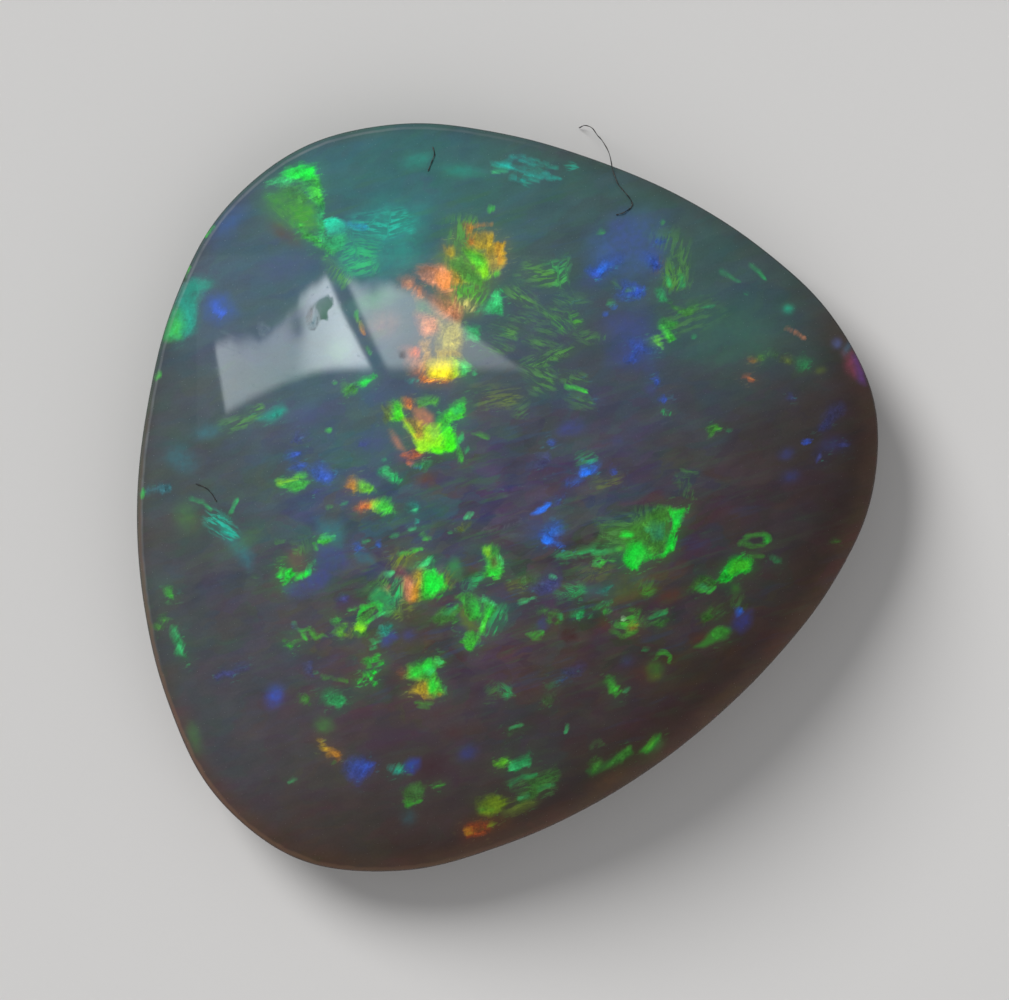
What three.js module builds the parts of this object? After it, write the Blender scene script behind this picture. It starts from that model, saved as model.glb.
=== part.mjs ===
// A polished freeform opal: a high-domed cabochon with a rounded-triangle outline, ground from one piece
// of stone. Millimetres, +Z up. The origin is at the middle of the stone's box, on the surface it lies on.
// Seen from above, +X is to the right and +Y is up.

import * as THREE from 'three';

// The outline at the girdle, the widest line of the stone, counterclockwise from its right-hand side.
// Three blunt corners, at the right, the upper left and the lower left, stand between three flatter sides.
const OUTLINE = [
  [6.89, -0.05],
  [6.96, 1.83],
  [6.12, 3.51],
  [4.78, 4.78],
  [3.29, 5.73],
  [1.68, 6.42],
  [-0.05, 6.92],
  [-1.97, 7.12],
  [-3.92, 6.66],
  [-5.48, 5.38],
  [-6.39, 3.61],
  [-6.85, 1.77],
  [-7.05, -0.05],
  [-6.94, -1.89],
  [-6.5, -3.77],
  [-5.6, -5.6],
  [-3.98, -6.86],
  [-1.93, -7.07],
  [-0.05, -6.58],
  [1.51, -5.88],
  [2.84, -5.05],
  [4.01, -4.11],
  [5.1, -3.02],
  [6.12, -1.7],
];

// The top of the dome stands over the middle of the outline's area, a little left of the box's middle.
const SUMMIT = new THREE.Vector2(-0.55, 0.18);

// The side view, as turned on a round stone of this radius before it is pushed out to the outline.
const TURNED_RADIUS = 7;
const RIM_TILT = 60; // degrees: how steep the dome is where it meets the girdle
const EDGE_RADIUS = 0.5; // the roundover of the girdle
const UNDER_RADIUS = 2.3; // the rounded underside between the girdle and the flat base
const UNDER_FROM = 112; // degrees that the surface has turned over where the underside starts
const UNDER_TO = 158; // and where it meets the base

const DOME_STEPS = 20;
const EDGE_STEPS = 6;
const UNDER_STEPS = 6;
const COLUMNS = 96;
const OUTLINE_SAMPLES = 1440;

const stoneMaterial = new THREE.MeshStandardMaterial({
  name: 'opal',
  color: 0x47505f,
  roughness: 0.08,
  metalness: 0,
});

// The point of a round arc where its surface faces `tilt` degrees away from straight up.
function onArc(centre, radius, tilt) {
  const turn = THREE.MathUtils.degToRad(tilt);
  return new THREE.Vector2(centre.x + radius * Math.sin(turn), centre.y + radius * Math.cos(turn));
}

// Points along an arc from one tilt to another, without the last.
function arcPoints(centre, radius, from, to, steps) {
  const points = [];
  for (let step = 0; step < steps; step += 1) {
    points.push(onArc(centre, radius, THREE.MathUtils.lerp(from, to, step / steps)));
  }
  return points;
}

// Half of the side view, from the middle of the base out to the girdle and up to the top of the dome. Its
// three arcs, for the underside, the girdle and the dome, run into each other with no crease.
function sideProfile() {
  const edge = new THREE.Vector2(TURNED_RADIUS - EDGE_RADIUS, 0);
  const under = onArc(edge, EDGE_RADIUS - UNDER_RADIUS, UNDER_FROM);
  const rim = onArc(edge, EDGE_RADIUS, RIM_TILT);
  const domeRadius = rim.x / Math.sin(THREE.MathUtils.degToRad(RIM_TILT));
  const dome = new THREE.Vector2(0, rim.y - domeRadius * Math.cos(THREE.MathUtils.degToRad(RIM_TILT)));
  const base = onArc(under, UNDER_RADIUS, UNDER_TO).y;

  const points = [
    new THREE.Vector2(0, base),
    ...arcPoints(under, UNDER_RADIUS, UNDER_TO, UNDER_FROM, UNDER_STEPS),
    ...arcPoints(edge, EDGE_RADIUS, UNDER_FROM, RIM_TILT, EDGE_STEPS),
    ...arcPoints(dome, domeRadius, RIM_TILT, 0, DOME_STEPS),
    onArc(dome, domeRadius, 0),
  ];
  for (const point of points) {
    point.y -= base;
  }
  return points;
}

// A function that gives how far the outline stands from the summit, in the direction of an angle.
function outlineReach() {
  const knots = OUTLINE.map(([x, y]) => new THREE.Vector3(x, y, 0));
  const curve = new THREE.CatmullRomCurve3(knots, true, 'centripetal');
  const around = curve.getPoints(OUTLINE_SAMPLES).map((point) => {
    const arm = new THREE.Vector2(point.x, point.y).sub(SUMMIT);
    return { angle: arm.angle(), length: arm.length() };
  });
  around.sort((a, b) => a.angle - b.angle);
  const full = 2 * Math.PI;
  return (angle) => {
    const wanted = THREE.MathUtils.euclideanModulo(angle, full);
    const found = around.findIndex((sample) => sample.angle > wanted);
    const after = found < 0 ? around[0] : around[found];
    const before = found <= 0 ? around[around.length - 1] : around[found - 1];
    const gap = THREE.MathUtils.euclideanModulo(after.angle - before.angle, full);
    const past = THREE.MathUtils.euclideanModulo(wanted - before.angle, full);
    return THREE.MathUtils.lerp(before.length, after.length, gap > 0 ? past / gap : 0);
  };
}

// The stone, turned round first and then pushed out to its outline. The level lines of the dome are
// round near the summit and take on the rounded triangle towards the girdle.
function stoneGeometry() {
  const geometry = new THREE.LatheGeometry(sideProfile(), COLUMNS);
  geometry.rotateX(Math.PI / 2);
  const reach = outlineReach();
  const place = geometry.getAttribute('position');
  for (let i = 0; i < place.count; i += 1) {
    const radius = Math.hypot(place.getX(i), place.getY(i));
    const angle = Math.atan2(place.getY(i), place.getX(i));
    const share = radius / TURNED_RADIUS;
    const pushed = share * THREE.MathUtils.lerp(TURNED_RADIUS, reach(angle), share * share);
    place.setX(i, SUMMIT.x + pushed * Math.cos(angle));
    place.setY(i, SUMMIT.y + pushed * Math.sin(angle));
  }
  geometry.computeBoundingBox();
  const middle = geometry.boundingBox.getCenter(new THREE.Vector3());
  geometry.translate(-middle.x, -middle.y, 0);
  geometry.computeVertexNormals();
  return geometry;
}

const opal = new THREE.Mesh(stoneGeometry(), stoneMaterial);
opal.name = 'opal';

const specimen = new THREE.Group();
specimen.name = 'polished freeform opal';
specimen.add(opal);

export default specimen;
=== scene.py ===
# %% [markdown]
# # A polished freeform opal
# This stone is one piece of precious opal, ground to a smooth high dome on a flat back. Its outline is a
# rounded triangle, because the cutter kept as much of the rough as possible. What makes it an opal is its
# play of colour: crisp flashes of green, blue and orange that seem to lie inside a dark, smoky body.
#
# The lesson goes in this order: the shape, the body colour, the flashes, the gloss, the light.

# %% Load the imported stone
import math

import bpy
import numpy as np
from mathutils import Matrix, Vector
from mathutils.bvhtree import BVHTree


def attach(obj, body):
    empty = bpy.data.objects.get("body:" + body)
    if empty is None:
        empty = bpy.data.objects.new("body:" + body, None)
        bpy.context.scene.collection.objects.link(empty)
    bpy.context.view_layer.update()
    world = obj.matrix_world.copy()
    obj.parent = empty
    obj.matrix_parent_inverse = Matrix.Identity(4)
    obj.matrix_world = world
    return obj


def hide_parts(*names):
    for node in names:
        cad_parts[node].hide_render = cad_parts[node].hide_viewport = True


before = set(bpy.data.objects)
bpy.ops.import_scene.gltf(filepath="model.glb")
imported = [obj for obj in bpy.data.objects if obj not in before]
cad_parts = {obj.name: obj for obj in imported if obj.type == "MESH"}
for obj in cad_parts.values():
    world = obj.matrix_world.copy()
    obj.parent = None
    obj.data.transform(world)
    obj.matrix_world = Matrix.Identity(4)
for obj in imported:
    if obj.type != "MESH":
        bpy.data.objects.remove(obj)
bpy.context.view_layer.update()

MM = 0.001

# %% [markdown]
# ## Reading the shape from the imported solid
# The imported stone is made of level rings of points. Each ring goes once around the stone at the same angles,
# seen from the summit. Sorted by height and by angle, they make a lattice, and a lattice can be refined as
# finely as we like. We could type the stone's measures in again instead, but then the two could drift apart.

# %% Sort the solid's points into level rings
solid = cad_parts["opal"]
corners = np.array([vertex.co for vertex in solid.data.vertices]) / MM
corners = np.unique(corners.round(4), axis=0)
summit = corners[corners[:, 2].argmax()]
away = corners[:, :2] - summit[:2]
distance = np.hypot(away[:, 0], away[:, 1])
A_HAIR = 0.01  # turns every angle a little, so that the first column can't slip behind the last
direction = (np.arctan2(away[:, 1], away[:, 0]) + A_HAIR) % (2 * math.pi)

levels = np.unique(corners[:, 2].round(3))
rings = []
for level in levels[:-1]:
    on_ring = (np.abs(corners[:, 2] - level) < 0.002) & (distance > 0.001)
    rings.append(distance[on_ring][direction[on_ring].argsort()])
rings = np.array(rings)
columns = rings.shape[1]
widest = int(rings.mean(axis=1).argmax())
print(len(rings), "rings of", columns, "points; the girdle is at", levels[widest], "mm")

# %% [markdown]
# ## Smooth curves through the lattice
# Around the stone, each ring is a sum of a few sine waves, which a Fourier transform finds. Up the side, we
# run a cubic curve through the rings, with slopes taken from the neighbours. Both ways pass through the
# solid's own points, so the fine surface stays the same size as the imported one.

# %% Helpers for the smooth surface
WAVES = 30  # sine waves kept around the outline


def around(ring_values, angles):
    """The radius of each ring at any angles, as a sum of sine waves."""
    spectrum = np.fft.rfft(ring_values, axis=-1)[..., : WAVES + 1] / columns
    turns = np.exp(1j * np.outer(np.arange(WAVES + 1), angles))
    doubled = np.where(np.arange(WAVES + 1) > 0, 2.0, 1.0)
    return ((spectrum * doubled) @ turns).real


def through(knots, values, at):
    """A cubic curve through values at knots, read at the places `at`. Values may have several columns."""
    slopes = np.gradient(values, knots, axis=0)
    left = np.clip(np.searchsorted(knots, at, side="right") - 1, 0, len(knots) - 2)
    gap = (knots[left + 1] - knots[left])[:, None]
    t = ((at - knots[left])[:, None]) / gap
    low, high = values[left], values[left + 1]
    return (
        (2 * t**3 - 3 * t**2 + 1) * low
        + (t**3 - 2 * t**2 + t) * gap * slopes[left]
        + (3 * t**2 - 2 * t**3) * high
        + (t**3 - t**2) * gap * slopes[left + 1]
    )


# %% Lay the rings out along the side of the stone
side = np.column_stack([rings.mean(axis=1), levels[:-1]])
side = np.vstack([side, [0.0, levels[-1]], [-side[-1, 0], side[-1, 1]]])
up_the_side = np.concatenate([[0], np.cumsum(np.hypot(*np.diff(side, axis=0).T))])
at_summit = up_the_side[-2]
lattice = np.vstack([rings, np.zeros(columns), -np.roll(rings[-1], columns // 2)])


def surface(path, angles):
    """Points of the stone, in mm, at lengths up its side from the base, one for each angle."""
    wave_radii = around(lattice, angles)
    points = np.empty((len(angles), 3))
    heights = through(up_the_side, side[:, 1:], path)[:, 0]
    radii = np.empty(len(angles))
    for path_value in np.unique(path):
        same = path == path_value
        radii[same] = through(up_the_side, wave_radii[:, same], np.array([path_value]))[0]
    points[:, 0] = summit[0] + radii * np.cos(angles)
    points[:, 1] = summit[1] + radii * np.sin(angles)
    points[:, 2] = heights
    return points


print("from the base's edge over the side to the summit:", round(at_summit, 2), "mm")

# %% [markdown]
# ## One even skin of small squares
# The dome will carry the pattern, so its points have to be close together everywhere. Rings and columns would
# crowd at the summit and thin out at the rim. A square grid bent into a disc keeps its cells alike: each
# square ring of the grid becomes one level ring of the dome. Plain rings go on over the girdle and under.

# %% Build the stone's mesh
CELLS = 276  # along one side of the square grid
EDGE_RINGS = 9
UNDER_RINGS = 7
BASE_RINGS = 2

steepness = np.degrees(np.arctan2(np.diff(side[:, 1]), -np.diff(side[:, 0])))
dome_starts = int(np.argmax(steepness < 60.5))  # the ring at which the dome meets the roundover of the girdle
under_ends = int(np.argmax(steepness < 111))  # the ring at which the underside meets it
path_samples = np.linspace(up_the_side[dome_starts], at_summit, 2000)
radius_samples = through(up_the_side, side[:, :1], path_samples)[:, 0]

line = np.linspace(-1, 1, CELLS + 1)
u, v = (values.ravel() for values in np.meshgrid(line, line))
ring_of = np.maximum(np.abs(u), np.abs(v)).round(9)
safe_u = np.where(np.abs(u) < 1e-12, 1e-12, u)
safe_v = np.where(np.abs(v) < 1e-12, 1e-12, v)
across = math.pi / 4 * v / safe_u + np.where(u < 0, math.pi, 0)
upright = math.pi / 2 - math.pi / 4 * u / safe_v + np.where(v < 0, math.pi, 0)
angle_of = np.where(np.abs(u) >= np.abs(v), across, upright) % (2 * math.pi)
path_of = np.interp(-ring_of * radius_samples[0], -radius_samples, path_samples)
dome_points = surface(path_of, angle_of)



def squares(index):
    """The four corners of each square in a sheet of numbered points."""
    corner_sets = [index[:-1, :-1], index[:-1, 1:], index[1:, 1:], index[1:, :-1]]
    return np.column_stack([corner_set.ravel() for corner_set in corner_sets])


index = np.arange((CELLS + 1) ** 2).reshape(CELLS + 1, CELLS + 1)
dome_faces = squares(index)
rim = np.concatenate([index[0, :-1], index[:-1, -1], index[-1, :0:-1], index[:0:-1, 0]])
print("dome:", len(dome_points), "points; rim:", len(rim), "points")

# %% Close the stone over the girdle, the underside and the base
rim_angles = angle_of[rim]
paths = np.concatenate(
    [
        np.linspace(up_the_side[dome_starts], up_the_side[under_ends], EDGE_RINGS + 1)[1:],
        np.linspace(up_the_side[under_ends], 0, UNDER_RINGS + 1)[1:],
    ]
)
lower = [surface(np.full(len(rim), path), rim_angles) for path in paths]
foot = lower[-1]
foot_middle = np.array([summit[0], summit[1], foot[0, 2]])
for ring in range(1, BASE_RINGS + 1):
    lower.append(foot_middle + (foot - foot_middle) * (1 - ring / (BASE_RINGS + 1)))
points = np.vstack([dome_points, *lower, foot_middle])

strips = np.vstack([rim, len(dome_points) + np.arange(len(lower) * len(rim)).reshape(len(lower), -1)])
after = np.roll(strips, -1, axis=1)
wall_faces = np.stack([strips[:-1], strips[1:], after[1:], after[:-1]], axis=-1).reshape(-1, 4)
last = strips[-1]
cap_faces = [(int(a), len(points) - 1, int(b)) for a, b in zip(last, np.roll(last, -1))]

mesh = bpy.data.meshes.new("opal_stone")
mesh.from_pydata((points * MM).tolist(), [], dome_faces.tolist() + wall_faces.tolist() + cap_faces)
mesh.update()
mesh.polygons.foreach_set("use_smooth", [True] * len(mesh.polygons))
mesh.set_sharp_from_angle(angle=math.radians(16))
stone = bpy.data.objects.new("opal_stone", mesh)
bpy.context.collection.objects.link(stone)
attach(stone, "root")
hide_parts("opal")
print("triangles:", 2 * (len(dome_faces) + len(wall_faces)) + len(cap_faces))

# %% [markdown]
# ## The body colour
# Between its flashes the opal is smoky: slate blue at the upper left, greenish along the top, plum and brown
# towards the lower right, where the brown is partly a painted glow of light coming through the thin rim. Each
# of these tones fades into the next.
# The places are as seen from above with a ruler at the girdle. The top of the dome is nearer to the eye, so
# it looks two percent larger, and we allow for that.
#
# We mix nine tones, put them down at sixteen places, and let every point of the stone take the
# average of the places near it, as wet paint does where two colours meet.

# %% Colours as the eye sees them
LIGHT = 0.92  # how much of a white surface's brightness the studio light gives on the stone


def seen(red, green, blue):
    """The base colour that looks like this screen colour, 0 to 255, under the studio light."""
    shares = np.array([red, green, blue]) / 255
    linear = np.where(shares <= 0.04045, shares / 12.92, ((shares + 0.055) / 1.055) ** 2.4)
    return np.minimum(linear / LIGHT, 0.95)


SEA = seen(56, 100, 102)
SLATE = seen(66, 86, 99)
STEEL = seen(66, 76, 88)
SAGE = seen(65, 92, 92)
ASH = seen(70, 78, 79)
DOVE = seen(72, 72, 79)
MAUVE = seen(77, 69, 74)
COCOA = seen(77, 66, 59)
BARK = seen(68, 58, 58)

# x, y and spread in mm, then the tone there
BODY_TONES = [
    (-2.2, 6.3, 1.2, SEA),
    (-5.0, 4.9, 1.3, SLATE),
    (1.7, 5.5, 1.4, SAGE),
    (4.5, 3.6, 1.1, SAGE),
    (1.8, 2.4, 1.5, STEEL),
    (-3.4, 1.2, 1.3, SLATE),
    (-5.8, 0.0, 1.5, ASH),
    (0.4, 0.4, 1.2, DOVE),
    (-1.0, -0.9, 1.1, STEEL),
    (3.6, -0.8, 1.2, MAUVE),
    (5.9, 1.0, 1.3, BARK),
    (0.4, -3.3, 1.6, MAUVE),
    (-4.9, -3.9, 1.4, DOVE),
    (-2.3, -4.4, 1.3, MAUVE),
    (-2.6, -6.3, 1.4, COCOA),
    (3.2, -3.6, 1.5, COCOA),
]

VIEW_DISTANCE = 213.0  # mm from the eye down to the girdle
girdle = float(levels[widest])
EYE = np.array([-0.057, -0.048, girdle + VIEW_DISTANCE])


def as_seen(places):
    """Where the eye sees these places against a ruler at the height of the girdle, in mm."""
    nearness = VIEW_DISTANCE / (EYE[2] - places[:, 2:])
    return EYE[:2] + (places[:, :2] - EYE[:2]) * nearness


plan = as_seen(points)
weights = np.zeros(len(points))
tone = np.zeros((len(points), 3))
for x, y, spread, colour in BODY_TONES:
    weight = np.exp(-((plan[:, 0] - x) ** 2 + (plan[:, 1] - y) ** 2) / (2 * spread**2)) + 1e-9
    weights += weight
    tone += weight[:, None] * colour
tone /= weights[:, None]
print("body tones laid down at", len(BODY_TONES), "places")

# %% [markdown]
# ## How far in from the rim
# The rim is thin enough to let light through, and the glow of that light is painted into its tone, so the tone
# depends on how far in from the outline a point lies. We measure that once, as a length in mm called the
# shore, and keep the side of the stone too.

# %% Measure the shore
ANGLE_STEPS = 2880
BELOW_SHARE = 0.5  # under the girdle the shore goes on below zero, at half the depth
angles = np.arctan2(points[:, 1] - summit[1], points[:, 0] - summit[0]) % (2 * math.pi)
fine_angles = np.linspace(0, 2 * math.pi, ANGLE_STEPS + 1)
outline_radii = around(rings[widest], fine_angles)
reach = np.interp(angles, fine_angles, outline_radii)
radius = np.hypot(points[:, 0] - summit[0], points[:, 1] - summit[1])
shore = reach - radius
over_girdle = points[:, 2] > levels[widest]
shore = np.where(over_girdle, shore, -BELOW_SHARE * (levels[widest] - points[:, 2]))


def facing(degrees):
    """1 on the side of the stone that faces this compass direction, falling to 0 at a right angle to it."""
    return np.clip(np.cos(angles - math.radians(degrees)), 0, 1)


def eased(low, high, values):
    """0 below low, 1 above high, and a smooth step between them."""
    share = np.clip((values - low) / (high - low), 0, 1)
    return share * share * (3 - 2 * share)


# %% Painted glow of light through the lower right rim
# Painted light: a brown glow where light shines through the thin rim on the side away from the key light, and
# a lighter band at the very edge, painted over the shade that falls there.
painted_through_glow = seen(64, 46, 38)
painted_rim_glow = seen(95, 72, 58)
painted_through_glow_width = 0.35 + 1.15 * facing(-38)
painted_through_glow_share = (1 - eased(0.15, 1.0, shore / painted_through_glow_width)) * (0.25 + 0.75 * facing(-50))
tone = tone + (painted_through_glow - tone) * (painted_through_glow_share * 0.9)[:, None]
painted_rim_glow_share = (1 - eased(0.0, 0.55, shore)) * facing(-62) ** 0.5
tone = tone + (painted_rim_glow - tone) * (painted_rim_glow_share * 0.8)[:, None]
print("from the rim in to the summit:", round(float(shore.max()), 2), "mm at most")

# %% [markdown]
# ## Tools for painting the play of colour
# Real opal shows its flashes where tiny spheres of silica are stacked in order. Each ordered patch has crisp,
# broken edges on some sides and fades out on others, and many have a grain of fine streaks.
#
# An image texture would be the quick way to show them. We draw instead: each patch is a short outline,
# with a colour and a strength. For every point of the mesh we store its distance to the nearest patch's edge.
# A distance can be blended between points without going blurred, so the shader can cut it as sharply as
# it likes, and can roughen the cut with noise.

# %% Distance to an outline or a line
def to_segments(places, ends, closed):
    """The distance of each place to a row of straight pieces, and whether it is inside them."""
    nearest = np.full(len(places), np.inf)
    inside = np.zeros(len(places), bool)
    ends = np.asarray(ends, float)
    starts = ends
    stops = np.roll(ends, -1, axis=0)
    if not closed:
        starts, stops = ends[:-1], ends[1:]
    for (ax, ay), (bx, by) in zip(starts, stops):
        along_x, along_y = bx - ax, by - ay
        length = along_x**2 + along_y**2 + 1e-12
        off_x, off_y = places[:, 0] - ax, places[:, 1] - ay
        share = np.clip((off_x * along_x + off_y * along_y) / length, 0, 1)
        nearest = np.minimum(nearest, np.hypot(off_x - share * along_x, off_y - share * along_y))
        if closed:
            crosses = (ay > places[:, 1]) != (by > places[:, 1])
            where = ax + (places[:, 1] - ay) * along_x / (along_y if abs(along_y) > 1e-12 else 1e-12)
            inside ^= crosses & (places[:, 0] < where)
    return nearest, inside


# %% A sheet of patches that the shader will cut out
FAR = 0.6  # mm beyond which a patch isn't felt


class Inlay:
    """A layer of flashes: the distance to their edges, how soft they are, how strong, and their colours."""

    MELT = 0.045  # mm over which the colours of two neighbours run into each other
    SLIGHT_FADE = 0.35  # how much weaker a patch is on its far side
    FULL_FADE = 0.7  # the same, where the stroke says which side that is
    SHARPEST_CUT = 0.03  # mm: no edge is cut sharper than this

    def __init__(self):
        self.edge = np.full(len(points), FAR)
        self.weight = np.full(len(points), 1e-12)
        self.look = np.zeros((len(points), 5))
        self.count = 0

    def lay(self, near, edge, colour, strength, soft, grain, fade=None):
        """Put one patch down. It fades towards one side, in degrees, and has its crisp edge opposite."""
        offset = plan[near] - plan[near[edge.argmin()]]
        side_of_fade = 120 + 50 * math.sin(1.7 * self.count) if fade is None else fade
        turn = math.radians(side_of_fade)
        along = offset @ np.array([math.cos(turn), math.sin(turn)])
        inside = along[edge < 0.02] if (edge < 0.02).any() else along
        faded = eased(inside.min() - 0.01, inside.max() + 0.01, along)
        power = strength * (1 - (self.SLIGHT_FADE if fade is None else self.FULL_FADE) * faded)
        softness = soft * (1 + 1.1 * faded)

        weight = np.exp(-np.maximum(edge, -0.3) / self.MELT)
        look = np.column_stack([softness, power, np.tile(colour, (len(near), 1))])
        self.weight[near] += weight
        self.look[near] += weight[:, None] * look
        wins = edge < self.edge[near]
        won = near[wins]
        self.edge[won] = edge[wins]
        turn = math.radians(grain)
        grain_coordinates[won, 0] = plan[won, 0] * math.cos(turn) + plan[won, 1] * math.sin(turn)
        grain_coordinates[won, 1] = plan[won, 1] * math.cos(turn) - plan[won, 0] * math.sin(turn)
        self.count += 1

    def settled(self):
        """The layer's cut (distance, softness, strength) and its colour, on every point."""
        look = self.look / self.weight[:, None]
        softness = np.maximum(look[:, 0], self.SHARPEST_CUT)
        return np.column_stack([self.edge, softness, look[:, 1]]), look[:, 2:]


grain_coordinates = np.column_stack([plan, np.zeros(len(points))])
feathers, flashes, sparks = Inlay(), Inlay(), Inlay()
on_dome = points[:, 2] > girdle + 0.02  # the strokes stay off the underside


def around_place(corner_points, margin):
    """The dome's points near these corners."""
    low = np.min(corner_points, axis=0) - margin
    high = np.max(corner_points, axis=0) + margin
    return np.flatnonzero(on_dome & np.all((plan > low) & (plan < high), axis=1))


# %% [markdown]
# ## The strokes of the brush
# Every stroke is a colour, a strength in percent, and places in hundredths of a millimetre, as seen from
# above. So the long lists further down hold whole numbers, which are easy to read and to move about.

# %% Patches and lines
def in_mm(hundredths):
    """Places in mm, from places in hundredths of a mm."""
    return np.array(hundredths) / 100


def lay_patch(layer, colour, strength, corner_points, soft, grain, fade=None):
    """Put a patch on a layer. Only its corners are in mm."""
    near = around_place(corner_points, FAR)
    away, inside = to_segments(plan[near], corner_points, closed=True)
    layer.lay(near, np.where(inside, -away, away), colour, strength / 100, soft / 100, grain, fade)


def feather(colour, strength, *corner_points, soft=16, grain=20, fade=None):
    """A faint patch that the shader breaks up into strands."""
    lay_patch(feathers, colour, strength, in_mm(corner_points), soft, grain, fade)


def flash(colour, strength, *corner_points, soft=7, grain=60, fade=None):
    """A patch of colour with broken edges."""
    lay_patch(flashes, colour, strength, in_mm(corner_points), soft, grain, fade)


def spark(colour, strength, *corner_points, soft=6, grain=60, fade=None):
    """A bright, crisp patch over the others."""
    lay_patch(sparks, colour, strength, in_mm(corner_points), soft, grain, fade)


THINNEST = 5.2  # about the spacing of the mesh's points: a thinner line would look like beads


def streak(colour, strength, *line_points, width=THINNEST, layer=sparks, soft=4.5):
    """A thin line of colour."""
    line_points = in_mm(line_points)
    near = around_place(line_points, FAR)
    away, _ = to_segments(plan[near], line_points, closed=False)
    run, rise = line_points[-1] - line_points[0]
    grain = math.degrees(math.atan2(rise, run))
    layer.lay(near, away - width / 100 / 2, colour, strength / 100, soft / 100, grain)


def fleck(colour, strength, x, y, length, width, turn=15, layer=sparks, soft=4.5):
    """A small leaf-shaped patch."""
    slant = math.radians(turn)
    long_way = np.array([math.cos(slant), math.sin(slant)]) * (length / 100) / 2
    short_way = np.array([-math.sin(slant), math.cos(slant)]) * (width / 100) / 2
    middle = in_mm([x, y])
    leaf = [middle - long_way, middle - short_way, middle + 0.6 * long_way - 0.7 * short_way]
    leaf += [middle + long_way, middle + short_way, middle - 0.5 * long_way + 0.8 * short_way]
    lay_patch(layer, colour, strength, leaf, soft, turn)


# %% Soft colour in the depth
deep_share = np.zeros(len(points))
deep_colour = tone.copy()


def soak(near, colour, share):
    """Let a colour soak into the body at these points."""
    total = 1 - (1 - deep_share[near]) * (1 - share)
    weight = np.where(total > 1e-6, share / np.maximum(total, 1e-6), 0)[:, None]
    deep_colour[near] += (colour - deep_colour[near]) * weight
    deep_share[near] = total


def glow(colour, strength, x, y, length, width, turn=15):
    """A soft oval, as from a flash that lies deep."""
    slant = math.radians(turn)
    off_x, off_y = plan[:, 0] - x / 100, plan[:, 1] - y / 100
    along = (off_x * math.cos(slant) + off_y * math.sin(slant)) / (length / 100 / 2)
    beside = (off_y * math.cos(slant) - off_x * math.sin(slant)) / (width / 100 / 2)
    share = strength / 100 * np.exp(-1.2 * (along**2 + beside**2) ** 1.2) * on_dome
    near = np.flatnonzero(share > 0.002)
    soak(near, colour, share[near])


def haze(colour, strength, *corner_points, soft=20):
    """A soft-edged patch."""
    corner_points, soft = in_mm(corner_points), soft / 100
    near = around_place(corner_points, soft)
    away, inside = to_segments(plan[near], corner_points, closed=True)
    soak(near, colour, strength / 100 * eased(-soft, soft, np.where(inside, away, -away)))


print("brushes: feather, flash, spark, streak, fleck, glow, haze")

# %% [markdown]
# ## The palette
# The colour of a flash depends on how closely its spheres are packed: blue and violet for the closest,
# through green to orange and red for the widest. One stone shows whole families of each.

# %% Name the colours
EMERALD = seen(28, 232, 60)
GRASS = seen(60, 226, 24)
LEAF = seen(66, 196, 58)
MOSS = seen(70, 150, 52)
FERN = seen(74, 128, 66)
LIME = seen(148, 228, 30)
SPRING = seen(104, 208, 40)
OLIVE = seen(104, 122, 50)
JADE = seen(46, 178, 98)
MINT = seen(74, 222, 132)
TEAL = seen(38, 160, 138)
SURF = seen(36, 202, 158)
CYAN = seen(20, 182, 172)
LAGOON = seen(58, 112, 122)
AZURE = seen(44, 116, 236)
BLUE = seen(54, 94, 208)
INDIGO = seen(68, 76, 140)
DUSK = seen(70, 78, 122)
VIOLET = seen(112, 70, 138)
ROSE = seen(150, 74, 96)
YELLOW = seen(244, 212, 34)
GOLD = seen(200, 168, 40)
AMBER = seen(206, 140, 44)
ORANGE = seen(222, 118, 52)
SALMON = seen(222, 142, 98)
APRICOT = seen(240, 148, 72)
CORAL = seen(228, 96, 66)
STRAW = seen(206, 196, 112)
RUST = seen(100, 64, 52)
UMBER = seen(88, 64, 50)
PLUM = seen(76, 56, 74)
SMOKE = seen(96, 100, 104)
NIGHT = seen(34, 30, 32)
print("colours named")

# %% [markdown]
# ## The green fall at the upper left
# A narrow fall of bright green comes in from the rim and breaks into teal feathers below. We paint it as the
# eye takes it in: soft hazes first, then the body of each flash, and the brightest sparks last.

# %% Upper left
glow(FERN, 35, -415, 535, 130, 80, -30)
glow(DUSK, 40, -420, 440, 120, 60)
glow(seen(62, 88, 134), 55, -530, 520, 90, 45, 50)
glow(seen(84, 72, 76), 60, -422, 500, 80, 30, -32)
haze(TEAL, 30, (-320, 490), (-240, 560), (-160, 550), (-170, 450), (-240, 420), (-310, 415), soft=35)
flash(EMERALD, 98, (-436, 608), (-420, 624), (-390, 632), (-365, 632), (-358, 612), (-375, 600), (-410, 600),
    grain=15, fade=100)
flash(MINT, 85, (-454, 599), (-430, 609), (-402, 608), (-405, 598), (-430, 592), grain=15)
flash(LEAF, 90, (-400, 604), (-360, 614), (-350, 582), (-349, 550), (-358, 542), (-372, 562), (-390, 582),
    grain=80, fade=190)
flash(MOSS, 65, (-435, 590), (-395, 598), (-376, 568), (-390, 556), (-425, 570), grain=-40, fade=190)
flash(JADE, 80, (-364, 556), (-350, 560), (-347, 500), (-350, 485), (-362, 495), grain=85, fade=180)
flash(LEAF, 90, (-410, 524), (-396, 520), (-380, 502), (-358, 495), (-344, 470), (-358, 476), (-390, 496),
    grain=-40)
haze(seen(62, 134, 68), 75, (-460, 572), (-415, 585), (-375, 550), (-385, 528), (-430, 538), soft=14)
haze(seen(66, 156, 60), 70, (-410, 550), (-370, 560), (-355, 510), (-380, 505), (-400, 525), soft=10)
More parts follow.
